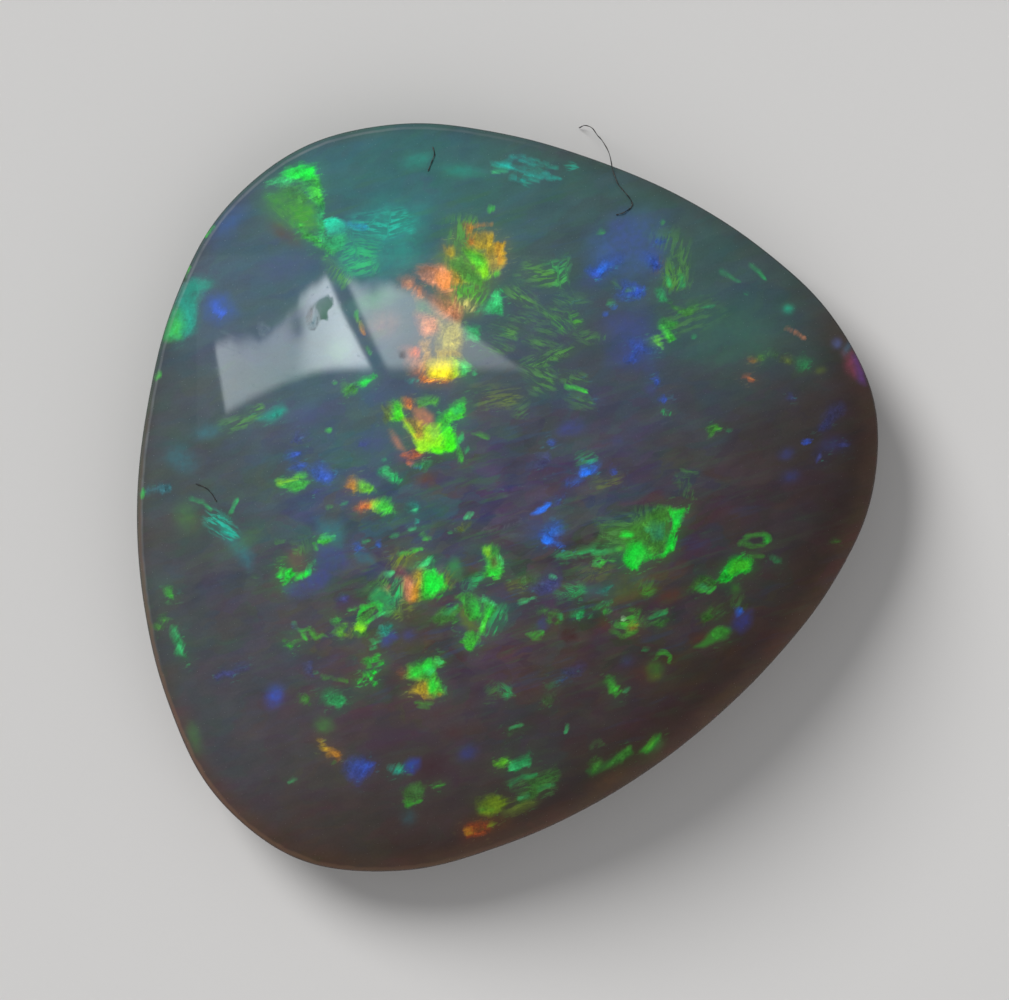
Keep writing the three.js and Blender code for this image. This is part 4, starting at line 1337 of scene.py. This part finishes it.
# %% A wire between nodes
class Wire:
    """One output of a node in a material."""

    def __init__(self, tree, socket):
        self.tree = tree
        self.socket = socket

    def node(self, kind, settings=None, sockets=None, output=0):
        """Make a node: first its settings, then the values or links of its sockets."""
        made = self.tree.nodes.new(kind)
        for name, value in (settings or {}).items():
            if name == "stops":
                ramp = made.color_ramp
                while len(ramp.elements) < len(value):
                    ramp.elements.new(1.0)
                for element, (position, colour) in zip(ramp.elements, value):
                    element.position = position
                    element.color = (*colour, 1.0)
            else:
                setattr(made, name, value)
        for name, value in (sockets or {}).items():
            if isinstance(name, int):
                socket = made.inputs[name]
            else:
                socket = next(one for one in made.inputs if name in (one.identifier, one.name))
            if isinstance(value, Wire):
                self.tree.links.new(value.socket, socket)
            else:
                socket.default_value = value
        return Wire(self.tree, made.outputs[output])

    def maths(self, operation, first, second, clamp=False):
        settings = {"operation": operation, "use_clamp": clamp}
        return self.node("ShaderNodeMath", settings, {0: first, 1: second})

    def __add__(self, other):
        return self.maths("ADD", self, other)

    def __radd__(self, other):
        return self.maths("ADD", other, self)

    def __sub__(self, other):
        return self.maths("SUBTRACT", self, other)

    def __rsub__(self, other):
        return self.maths("SUBTRACT", other, self)

    def __mul__(self, other):
        return self.maths("MULTIPLY", self, other)

    def __rmul__(self, other):
        return self.maths("MULTIPLY", other, self)

    def __truediv__(self, other):
        return self.maths("DIVIDE", self, other)

    def clamped(self):
        """The value, kept between 0 and 1."""
        return self.maths("ADD", self, 0.0, clamp=True)

    def step(self, low, high):
        """0 below low, 1 above high, and a smooth step between."""
        settings = {"interpolation_type": "SMOOTHSTEP"}
        return self.node("ShaderNodeMapRange", settings, {"Value": self, "From Min": low, "From Max": high})

    def tinted(self, colour, share):
        """This colour, mixed with another one by a share."""
        settings = {"data_type": "RGBA", "clamp_factor": True}
        sockets = {"Factor_Float": share, "A_Color": self, "B_Color": colour}
        return self.node("ShaderNodeMix", settings, sockets, output=2)

    def scaled(self, factor):
        """This colour or vector, times a number."""
        return self.node("ShaderNodeVectorMath", {"operation": "SCALE"}, {"Vector": self, "Scale": factor})

    def times(self, factors):
        """This vector or colour, times another, axis by axis."""
        return self.node("ShaderNodeVectorMath", {"operation": "MULTIPLY"}, {0: self, 1: factors})

    def plus(self, vector):
        """This vector or colour and another, added axis by axis."""
        return self.node("ShaderNodeVectorMath", {"operation": "ADD"}, {0: self, 1: vector})

    def turned(self, degrees):
        """This vector, turned about the Z axis."""
        settings = {"rotation_type": "Z_AXIS"}
        return self.node("ShaderNodeVectorRotate", settings, {"Vector": self, "Angle": math.radians(degrees)})

    def parts(self):
        """The three numbers of this vector."""
        split = self.node("ShaderNodeSeparateXYZ", {}, {"Vector": self})
        return [Wire(self.tree, output) for output in split.socket.node.outputs]

    def noise(self, scale, detail=2.0, roughness=0.5, output=0, dimensions="2D"):
        """Cloudy noise. Output 0 is a number, and output 1 a colour. Flat noise is quicker than solid."""
        sockets = {"Vector": self, "Scale": scale, "Detail": detail, "Roughness": roughness}
        return self.node("ShaderNodeTexNoise", {"noise_dimensions": dimensions}, sockets, output)

    def cells(self, scale, output=0, melt=None):
        """Cells round scattered points. Output 0 is the distance to the point, 1 the cell's colour."""
        settings = {"voronoi_dimensions": "2D"}
        sockets = {"Vector": self, "Scale": scale}
        if melt is not None:
            settings["feature"] = "SMOOTH_F1"
            sockets["Smoothness"] = melt
        return self.node("ShaderNodeTexVoronoi", settings, sockets, output)


def new_material(name):
    """A material with an empty Principled shader, and a wire to begin from."""
    material = bpy.data.materials.new(name)
    material.use_nodes = True
    return material, Wire(material.node_tree, None), material.node_tree.nodes["Principled BSDF"]


def stripe(offset, half_width):
    """1 on a line, falling to 0 where the offset from it is half its width."""
    share = offset / half_width
    return (1 - share * share).clamped()


def plug(shader, socket_name, value):
    """Link a wire to a socket of the Principled shader, or set the socket."""
    if isinstance(value, Wire):
        value.tree.links.new(value.socket, shader.inputs[socket_name])
    else:
        shader.inputs[socket_name].default_value = value


print("shader tools ready")

# %% [markdown]
# ## Cutting the flashes
# The mask of a layer is one where the distance is below zero. Two sizes of noise push that line about: the
# coarse one bends an edge, the fine one frays it. Feathers are cut again along their grain, and the solid
# flashes get plates and ribs, which are the layers of spheres seen from above.

# %% The stone's colour
opal_finish, start, principled = new_material("opal_play_of_colour")


def carried(name):
    """What the mesh keeps under this name."""
    return start.node("ShaderNodeAttribute", {"attribute_name": name}, {}, output=1)


place = start.node("ShaderNodeTexCoord", {}, {}, output=3).scaled(1 / MM)
grain = carried("grain")
coarse = place.noise(3.4, 1.0) - 0.5
medium = place.noise(9.0, 2.0, 0.5) - 0.5
lines = grain.times((1.5, 14.0, 1.0)).noise(1.0, 2.0, 0.55) - 0.5
strands = grain.times((2.4, 13.0, 1.0)).noise(1.0, 3.0, 0.65).step(0.41, 0.58)
plates = grain.times((2.6, 4.6, 1.0)).cells(1.0, output=1).parts()[0]
chips = grain.times((6.0, 10.0, 1.0)).cells(1.0, output=1).parts()[0] - 0.5
fray = coarse * 0.10 + medium * 0.05 + chips * 0.05


def mask_of(name, fraying, ruling):
    """How much of a layer shows, from 0 to 1, with its edge bent by noise and broken along its grain."""
    edge, soft, strength = carried(name + "_cut").parts()
    crispness = (1.5 - 8.0 * soft).clamped()
    bend = fraying * (soft * 14.0).clamped()
    return (0.5 - (edge + bend) / soft + ruling * crispness).clamped() * strength


def halo_of(name, width):
    """The light that a flash spreads into the stone around it."""
    edge, _, strength = carried(name + "_cut").parts()
    nearness = (1 - edge / width).clamped()
    return nearness * nearness * strength


def lip_of(name):
    """A bright line just inside the broken edge, in places."""
    edge, _, _ = carried(name + "_cut").parts()
    return stripe(edge + fray + 0.03, 0.035) * (0.3 + 4.0 * medium).clamped()


# %% The smoky body
WISP_GREEN = seen(66, 108, 70)
WISP_BLUE = seen(62, 84, 122)
EVEN = 0.86  # the tints' mean, to which the body calms down away from its busy middle
slanted = place.turned(-18)
drift = slanted.times((0.55, 1.2, 1.0)).noise(1.0, 2.0, 0.55, output=1)
mottle = slanted.times((1.6, 4.2, 1.0)).noise(1.0, 2.0, 0.6, output=1)
bent = slanted.plus(drift.scaled(0.9)).plus(mottle.scaled(0.35))
blocks = bent.times((0.9, 2.0, 1.0)).cells(1.0, output=1, melt=0.25)
shards = bent.times((2.6, 5.2, 1.0)).cells(1.0, output=1, melt=0.15)
smoke = slanted.times((1.0, 1.9, 1.0)).noise(1.4, 3.0, 0.62)
powder = place.noise(24.0, 1.0)
deep_share, wispy, busy = carried("depth").parts()
tint = drift.scaled(0.60).plus(mottle.scaled(0.50)).plus(blocks.scaled(0.36)).plus(shards.scaled(0.26))
tint = tint.plus((-EVEN, -EVEN, -EVEN)).scaled(busy).plus((EVEN, EVEN, EVEN))
body_light = 1 + 0.30 * (smoke - 0.5) + 0.16 * (powder - 0.5)
body = carried("tone").times(tint).scaled(body_light * 1.17)
wisps = slanted.times((0.8, 6.0, 1.0)).noise(1.0, 3.0, 0.6).step(0.52, 0.72)
kinds = slanted.times((0.5, 1.1, 1.0)).noise(1.3, 1.0)
wisp_colour = carried("tone").tinted((*WISP_GREEN, 1.0), kinds.step(0.45, 0.52))
wisp_colour = wisp_colour.tinted((*WISP_BLUE, 1.0), 1 - kinds.step(0.38, 0.46))
body = body.tinted(wisp_colour, wisps * wispy * 0.45)
deep_mask = deep_share * (0.30 + 1.4 * smoke + 1.0 * medium)
body = body.tinted(carried("deep"), deep_mask.clamped())
print("the body's colour is ready")

# %% [markdown]
# ## The rim
# Where the polish rounds over, the rim catches the light, and we paint that light into the colour: a green
# sheen on the edge and a thin pale highlight at the upper left, and a brown glow at the lower left. They are
# painted light in the colour only, too fine to be steps in the stone.

# %% Painted highlights along the rim
from_rim, upper_left, lower_left = carried("shore").parts()
# Painted light: a green sheen and a pale highlight where the rounded rim mirrors the light at the upper left,
# and a brown glow at the lower left.
painted_green_rim_sheen = (1.2 - from_rim / 0.08).clamped() * (1.5 * upper_left - 0.5).clamped() * (0.4 + 1.0 * smoke)
body = body.tinted((*seen(72, 98, 80), 1.0), painted_green_rim_sheen.clamped() * 0.5)
painted_pale_highlight = stripe(from_rim - 0.10 + 0.02 * coarse, 0.034) * (1.8 * upper_left - 0.6).clamped()
body = body.tinted((*seen(138, 144, 146), 1.0), painted_pale_highlight * (0.15 + 0.9 * smoke).clamped() * 0.45)
painted_brown_rim_glow = stripe(from_rim - 0.05 + 0.06 * coarse, 0.06) * (1.8 * lower_left - 0.7).clamped()
body = body.tinted((*seen(142, 108, 84), 1.0), painted_brown_rim_glow * 0.35)
print("the rim's lines are ready")

# %% Lay the masks over each other
feather_mask = mask_of("feather", fray, lines * 1.6) * (0.26 + 1.20 * strands)
flash_mask = mask_of("flash", fray, lines * 1.7)
spark_mask = mask_of("spark", fray * 0.7, lines * 1.2)
# The last mask is a painted reflection: dark things that stand before the window, mirrored in the dome.
painted_reflection_mask = mask_of("film", fray * 0.3, 0.0)

glint = 0.36 * plates + 0.45 * (lines + 0.5) + 0.50 * (coarse + 0.5) + 0.50 * medium
flash_light = 0.34 + 1.15 * glint * glint + 0.30 * lip_of("flash") + 0.7 * (powder - 0.5)
feather_light = 0.66 + 0.58 * strands + 0.6 * medium
spark_light = 0.90 + 0.42 * (lines + 0.5) + 0.6 * medium + 0.18 * lip_of("spark") + 0.5 * (powder - 0.5)

glitter = slanted.times((5.0, 15.0, 1.0)).noise(1.0, 2.0, 0.6).step(0.62, 0.68)
near_flashes = halo_of("flash", 0.34) * 0.75 + halo_of("feather", 0.30) * 0.35
glitter_share = glitter * near_flashes * (0.2 + 3.0 * coarse).clamped()

colour = body.tinted(carried("feather_colour"), halo_of("feather", 0.30) * 0.08)
colour = colour.tinted(carried("flash_colour").scaled(0.6), halo_of("flash", 0.30) * 0.16)
colour = colour.tinted(carried("flash_colour").tinted((*MINT, 1.0), 0.4), glitter_share.clamped() * 0.8)
colour = colour.tinted(carried("feather_colour").scaled(feather_light), feather_mask)
colour = colour.tinted(carried("flash_colour").scaled(flash_light), flash_mask * (0.80 + 0.25 * plates))
colour = colour.tinted(carried("spark_colour").scaled(spark_light), spark_mask * 0.97)
colour = colour.tinted(carried("film_colour"), painted_reflection_mask)
plug(principled, "Base Color", colour)
print("nodes so far:", len(opal_finish.node_tree.nodes))

# %% [markdown]
# ## The polish
# A cabochon is finished on a felt wheel. It shines like glass, but a close look finds wide ripples, fine
# hair scratches in many directions, and a few pits. All are far too shallow to model, so they go into the
# roughness and a bump of less than a thousandth of a millimetre.

# %% Gloss, ripples and scratches
THINNESS = 9000.0  # of the scratches: the more, the thinner


def scratches(turn, offset):
    """Hair lines in one direction, where a thin slice of stretched noise is cut out."""
    drawn = place.turned(turn).times((0.16, 9.0, 1.0)).noise(1.0, 1.0)
    return 1 - ((drawn - offset) * (drawn - offset) * THINNESS).clamped()


hair = scratches(25, 0.5) * 0.5 + scratches(-48, 0.46) * 0.3 + scratches(80, 0.54) * 0.3
pits = 1 - place.cells(3.1).step(0.02, 0.05)
# The painted reflection is rough, so that the window card isn't mirrored over it.
roughness = 0.045 + 0.03 * smoke + 0.09 * hair + 0.25 * pits + 0.42 * painted_reflection_mask
plug(principled, "Roughness", roughness.clamped())

height = place.noise(1.3, 1.0) * 0.8 + place.noise(6.0, 1.0) * 0.10 - pits * 0.4
RELIEF = 0.0006 * MM
relief = start.node("ShaderNodeBump", {}, {"Strength": 1.0, "Distance": RELIEF, "Height": height})
plug(principled, "Normal", relief)
plug(principled, "IOR", 1.45)
mesh.materials.append(opal_finish)
print("opal finish:", len(opal_finish.node_tree.nodes), "nodes")

# %% [markdown]
# ## Lint
# A stone this glossy shows every hair. Three textile fibres lie on the dome, and the longest hangs over the
# rim. Each is a thin tube that is swept along a curved line, a hair's breadth above the surface. A bevelled
# curve would do the same, but a mesh shows its real ends.

# %% Find the top of the stone under a point
skin = BVHTree.FromPolygons(points.tolist(), dome_faces.tolist() + wall_faces.tolist())


def stone_top(x, y):
    """The height of the stone's upper skin at x, y, or 0 where there is none."""
    hit = skin.ray_cast(Vector((x, y, 20.0)), Vector((0, 0, -1)))[0]
    return hit.z if hit is not None else 0.0


def under_eye(x, y):
    """The point of the stone, or of the floor beside it, that the eye sees at x, y."""
    ray = (Vector((x, y, girdle)) - Vector(EYE)).normalized()
    hit = skin.ray_cast(Vector(EYE), ray)[0]
    return hit if hit is not None else Vector(EYE) - ray * (EYE[2] / ray.z)


print("the summit is", round(stone_top(summit[0], summit[1]), 3), "mm high")

# %% Sweep the fibres
FIBRE_SIDES = 6
FIBRES = [  # the fibre's radius in mm, then x, y and height over the stone at each bend
    (0.009, [(1.36, 7.02, 0.02), (1.47, 7.06, 0.25), (1.60, 7.00, 0.60), (1.70, 6.85, 1.00),
             (1.80, 6.72, 1.30), (1.92, 6.48, 1.56), (2.00, 6.21, 0.06), (2.04, 6.10, 0.03),
             (2.10, 5.95, 0.06), (2.21, 5.82, 0.05), (2.31, 5.70, 0.02), (2.37, 5.57, 0.02),
             (2.31, 5.48, 0.02), (2.18, 5.40, 0.04), (2.07, 5.37, 0.02)]),
    (0.008, [(-1.42, 6.66, 0.02), (-1.39, 6.52, 0.03), (-1.44, 6.38, 0.03), (-1.51, 6.20, 0.02)]),
    (0.008, [(-5.92, 0.26, 0.02), (-5.73, 0.18, 0.03), (-5.62, 0.07, 0.03), (-5.53, -0.08, 0.02)]),
]

fibre_points, fibre_faces = [], []
for fibre_radius, bends in FIBRES:
    line = np.array([under_eye(x, y) + Vector((0, 0, fibre_radius + lift)) for x, y, lift in bends])
    steps = np.linspace(0, len(line) - 1, 8 * len(line))
    line = through(np.arange(len(line), dtype=float), line, steps)
    line[:, 2] = np.maximum(line[:, 2], fibre_radius * 1.3)
    for number, centre in enumerate(line):
        ahead = line[min(number + 1, len(line) - 1)] - line[max(number - 1, 0)]
        ahead /= np.linalg.norm(ahead)
        beside = np.cross(ahead, [0, 0, 1])
        beside /= np.linalg.norm(beside)
        over = np.cross(beside, ahead)
        thickness = fibre_radius * (1 + 0.25 * math.sin(number * 0.7))
        for side_number in range(FIBRE_SIDES):
            turn = 2 * math.pi * side_number / FIBRE_SIDES
            fibre_points.append(centre + thickness * (math.cos(turn) * beside + math.sin(turn) * over))
    first = len(fibre_points) - len(line) * FIBRE_SIDES
    for number in range(len(line) - 1):
        for side_number in range(FIBRE_SIDES):
            a = first + number * FIBRE_SIDES + side_number
            b = first + number * FIBRE_SIDES + (side_number + 1) % FIBRE_SIDES
            fibre_faces.append((a, a + FIBRE_SIDES, b + FIBRE_SIDES, b))
    fibre_faces.append(tuple(first + side_number for side_number in range(FIBRE_SIDES)))
    fibre_faces.append(tuple(len(fibre_points) - 1 - side_number for side_number in range(FIBRE_SIDES)))

lint_mesh = bpy.data.meshes.new("dust_fibres")
lint_mesh.from_pydata((np.array(fibre_points) * MM).tolist(), [], fibre_faces)
lint_mesh.update()
lint_mesh.polygons.foreach_set("use_smooth", [len(face) == 4 for face in fibre_faces])
lint = bpy.data.objects.new("dust_fibres", lint_mesh)
bpy.context.collection.objects.link(lint)
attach(lint, "root")
print("fibre faces:", len(fibre_faces))

# %% Lint finish
lint_finish, start_lint, lint_shader = new_material("grey_lint")
along_lint = start_lint.node("ShaderNodeTexCoord", {}, {}, output=3).scaled(1 / MM)
shading = along_lint.noise(9.0, 2.0).step(0.35, 0.65)
pale_lint = start_lint.node("ShaderNodeRGB", {}, {})
pale_lint.socket.default_value = (0.06, 0.055, 0.05, 1.0)
plug(lint_shader, "Base Color", pale_lint.tinted((0.012, 0.012, 0.014, 1.0), shading))
plug(lint_shader, "Roughness", 0.85)
lint_mesh.materials.append(lint_finish)
print("lint finish ready")

# %% [markdown]
# ## The camera
# The photograph looks straight down on the stone from far away, so we use a long lens. At this distance one
# pixel of a 1009-pixel-wide picture is 0.019 mm at the girdle.

# %% Set the camera
PIXEL = 0.019
PICTURE_WIDTH = 1009
camera_data = bpy.data.cameras.new("view_from_above")
camera_data.sensor_width = 36.0
camera_data.lens = VIEW_DISTANCE * camera_data.sensor_width / (PIXEL * PICTURE_WIDTH)
camera_data.clip_start = 0.01
camera_data.clip_end = 10.0
camera = bpy.data.objects.new("view_from_above", camera_data)
camera.location = EYE * MM
bpy.context.collection.objects.link(camera)
bpy.context.scene.camera = camera
print("lens:", round(camera_data.lens, 1), "mm")

# %% [markdown]
# ## A pale floor and soft light
# The light comes from the upper left, about half-way up the sky. A sun lamp with a wide disc gives soft
# shadows. It is hidden from mirror rays, because its round image would look wrong on the polish.

# %% Floor, key light and fill
floor_mesh = bpy.data.meshes.new("floor")
FLOOR_HALF = 3.0  # metres
A_GAP = 0.01 * MM  # so that the floor and the stone's base don't flicker through each other
floor_corners = [(x * FLOOR_HALF, y * FLOOR_HALF, 0) for x, y in [(-1, -1), (1, -1), (1, 1), (-1, 1)]]
floor_mesh.from_pydata(floor_corners, [], [(0, 1, 2, 3)])
floor = bpy.data.objects.new("floor", floor_mesh)
floor.location.z = -A_GAP
bpy.context.collection.objects.link(floor)
floor.visible_glossy = False
floor_finish, _, floor_shader = new_material("pale_floor")
plug(floor_shader, "Base Color", (0.62, 0.61, 0.60, 1.0))
plug(floor_shader, "Roughness", 0.9)
plug(floor_shader, "Specular IOR Level", 0.2)
floor_mesh.materials.append(floor_finish)


def sun(name, strength, azimuth, zenith, disc):
    """A lamp as far as the sun, in degrees: where it stands, and how wide its disc is."""
    lamp = bpy.data.lights.new(name, "SUN")
    lamp.energy = strength
    lamp.angle = math.radians(disc)
    holder = bpy.data.objects.new(name, lamp)
    holder.rotation_euler = (0, math.radians(zenith), math.radians(azimuth))
    holder.visible_glossy = False
    bpy.context.collection.objects.link(holder)


sun("key_light", 2.6, 133, 47, 28)
sun("fill_light", 0.5, -60, 35, 60)
world = bpy.data.worlds.new("studio")
world.use_nodes = True
world_rays = Wire(world.node_tree, None).node("ShaderNodeLightPath", {}, {})
mirror_ray = Wire(world.node_tree, world_rays.socket.node.outputs["Is Glossy Ray"])
background = world.node_tree.nodes["Background"]
background.inputs["Color"].default_value = (0.97, 0.98, 1.0, 1.0)
world.node_tree.links.new((0.3 - mirror_ray * 0.2).socket, background.inputs["Strength"])
bpy.context.scene.world = world
bpy.context.scene.view_settings.view_transform = "Standard"

# %% [markdown]
# ## The window in the polish
# The dome mirrors a window with a bar down its middle. To find where such a window must stand, we go the
# other way round: from the eye to a point of the dome, and on along the mirrored ray to a big sphere around
# the stone. A grid of points on the dome gives a curved card out there, and the panes are drawn on it. Only
# mirror rays see the card, so it lights nothing.

# %% Send a grid of points through the mirror
CARD_RADIUS = 350.0
ASIDE = 0.15  # mm to each side, to measure the dome's slope
DRAFT_X = np.linspace(-5.9, 0.6, 261)
DRAFT_Y = np.linspace(1.1, 4.6, 141)
grid_x, grid_y = (values.ravel() for values in np.meshgrid(DRAFT_X, DRAFT_Y))
card_points = []
for x, y in zip(grid_x, grid_y):
    spot = under_eye(x, y)
    tilt = [stone_top(spot.x - ASIDE, spot.y) - stone_top(spot.x + ASIDE, spot.y),
            stone_top(spot.x, spot.y - ASIDE) - stone_top(spot.x, spot.y + ASIDE), 2 * ASIDE]
    normal = Vector(tilt).normalized()
    ray = (spot - Vector(EYE)).normalized()
    bounced = ray - 2 * ray.dot(normal) * normal
    middle = spot.dot(bounced)
    reach_out = -middle + math.sqrt(middle**2 + CARD_RADIUS**2 - spot.length_squared)
    card_points.append(spot + bounced * reach_out)
print("the card's lowest point is", round(min(point.z for point in card_points)), "mm up")

# %% Draw the panes
def inside_of(outline_points, soft):
    """1 inside an outline on the dome, 0 outside, with a soft edge in mm."""
    away, inside = to_segments(np.column_stack([grid_x, grid_y]), outline_points, closed=True)
    return eased(-soft, soft, np.where(inside, away, -away))


def along(knots, soft_low, soft_high, ragged):
    """How far each point of the draft stands over a line that goes through these places, as 0 to 1."""
    places_x, places_y = zip(*knots)
    waves = sum(np.sin(rate * grid_x + 1.3 * rate) / rate for rate in (7, 16, 29, 53))
    return eased(soft_low, soft_high, grid_y - np.interp(grid_x, places_x, places_y) + ragged * waves)


# Places on the dome in mm
LEFT_PANE = [(-5.72, 4.0), (-5.55, 2.87), (-5.33, 1.50), (-4.0, 1.5), (-2.3, 1.9), (-2.55, 2.39),
             (-2.81, 2.86), (-3.15, 3.54), (-3.6, 4.6)]
RIGHT_PANE = [(-3.25, 4.6), (-2.80, 3.54), (-2.50, 2.90), (-2.24, 2.35), (-2.0, 1.8), (0.5, 1.8),
              (0.5, 2.35), (0.18, 2.5), (-0.25, 2.80), (-0.65, 3.08), (-1.1, 3.45), (-1.7, 3.9), (-2.3, 4.4)]
LOWER_EDGE = [(-5.9, 1.4), (-5.35, 1.53), (-4.87, 1.80), (-4.29, 2.08), (-3.71, 2.31), (-3.26, 2.36),
              (-2.5, 2.38), (0.4, 2.36)]
UPPER_EDGE = [(-5.9, 3.0), (-5.2, 2.98), (-4.55, 3.11), (-4.23, 3.34), (-4.0, 3.62), (-3.93, 3.88),
              (-3.71, 4.05), (-3.39, 4.21), (-3.0, 4.15), (-2.61, 4.05), (-1.97, 4.05), (-1.5, 3.75),
              (-0.7, 3.4), (0.4, 3.0)]

# The panes are brightest beside the bar
left_light = 0.28 + 0.30 * eased(-4.1, -3.6, grid_x)
left_light += 0.24 * eased(-3.7, -3.0, grid_x) * eased(2.3, 2.8, grid_y)
right_light = 0.20 + 0.15 * (1 - eased(-2.5, -0.9, grid_x)) + 0.05 * eased(2.4, 3.2, grid_y)
shine = left_light * inside_of(LEFT_PANE, 0.035) + right_light * inside_of(RIGHT_PANE, 0.06)
shine *= along(LOWER_EDGE, -0.03, 0.20, 0.0) * (1 - along(UPPER_EDGE, -0.17, 0.13, 0.30))
DIM_SPOTS = [(-4.72, 3.15, 0.2), (-4.02, 3.36, 0.24), (-2.55, 4.0, 0.24), (-5.05, 3.1, 0.22),
             (-3.98, 3.2, 0.14)]  # x, y and size, where something stands before the window
for x, y, size in DIM_SPOTS:
    shine *= 1 - 0.6 * np.exp(-((grid_x - x) ** 2 + 0.35 * (grid_y - y) ** 2) / size**2 * 2)
shine = np.maximum(shine, 0)

card_mesh = bpy.data.meshes.new("window_card")
card_faces = squares(np.arange(len(card_points)).reshape(len(DRAFT_Y), len(DRAFT_X)))
card_mesh.from_pydata([tuple(point * MM) for point in card_points], [], card_faces.tolist())
shine_attribute = card_mesh.attributes.new("shine", "FLOAT", "POINT")
shine_attribute.data.foreach_set("value", shine.astype(np.float32))
card = bpy.data.objects.new("window_card", card_mesh)
bpy.context.collection.objects.link(card)
print("pane points:", int((shine > 0.1).sum()))

# %% Let only mirror rays see the card
WINDOW_LIGHT = 17.0
card.visible_camera = False
card.visible_diffuse = False
card.visible_transmission = False
card.visible_volume_scatter = False
card.visible_shadow = False
card_finish = bpy.data.materials.new("window_glow")
card_finish.use_nodes = True
card_tree = card_finish.node_tree
card_tree.nodes.clear()
start_card = Wire(card_tree, None)
panes = start_card.node("ShaderNodeAttribute", {"attribute_name": "shine"}, {}, output=2)
on_card = start_card.node("ShaderNodeTexCoord", {}, {}, output=3).scaled(1 / MM).turned(35)
clouding = on_card.times((0.05, 0.30, 0.30)).noise(1.0, 3.0, 0.7, dimensions="3D") - 0.5
brightness = panes * (1 + 0.5 * clouding) * WINDOW_LIGHT + 0.3
glowing = start_card.node("ShaderNodeEmission", {}, {"Color": (0.88, 0.97, 1.0, 1.0), "Strength": brightness})
output = card_tree.nodes.new("ShaderNodeOutputMaterial")
card_tree.links.new(glowing.socket, output.inputs["Surface"])
card_finish.cycles.emission_sampling = "NONE"
card_mesh.materials.append(card_finish)
print("window card ready")
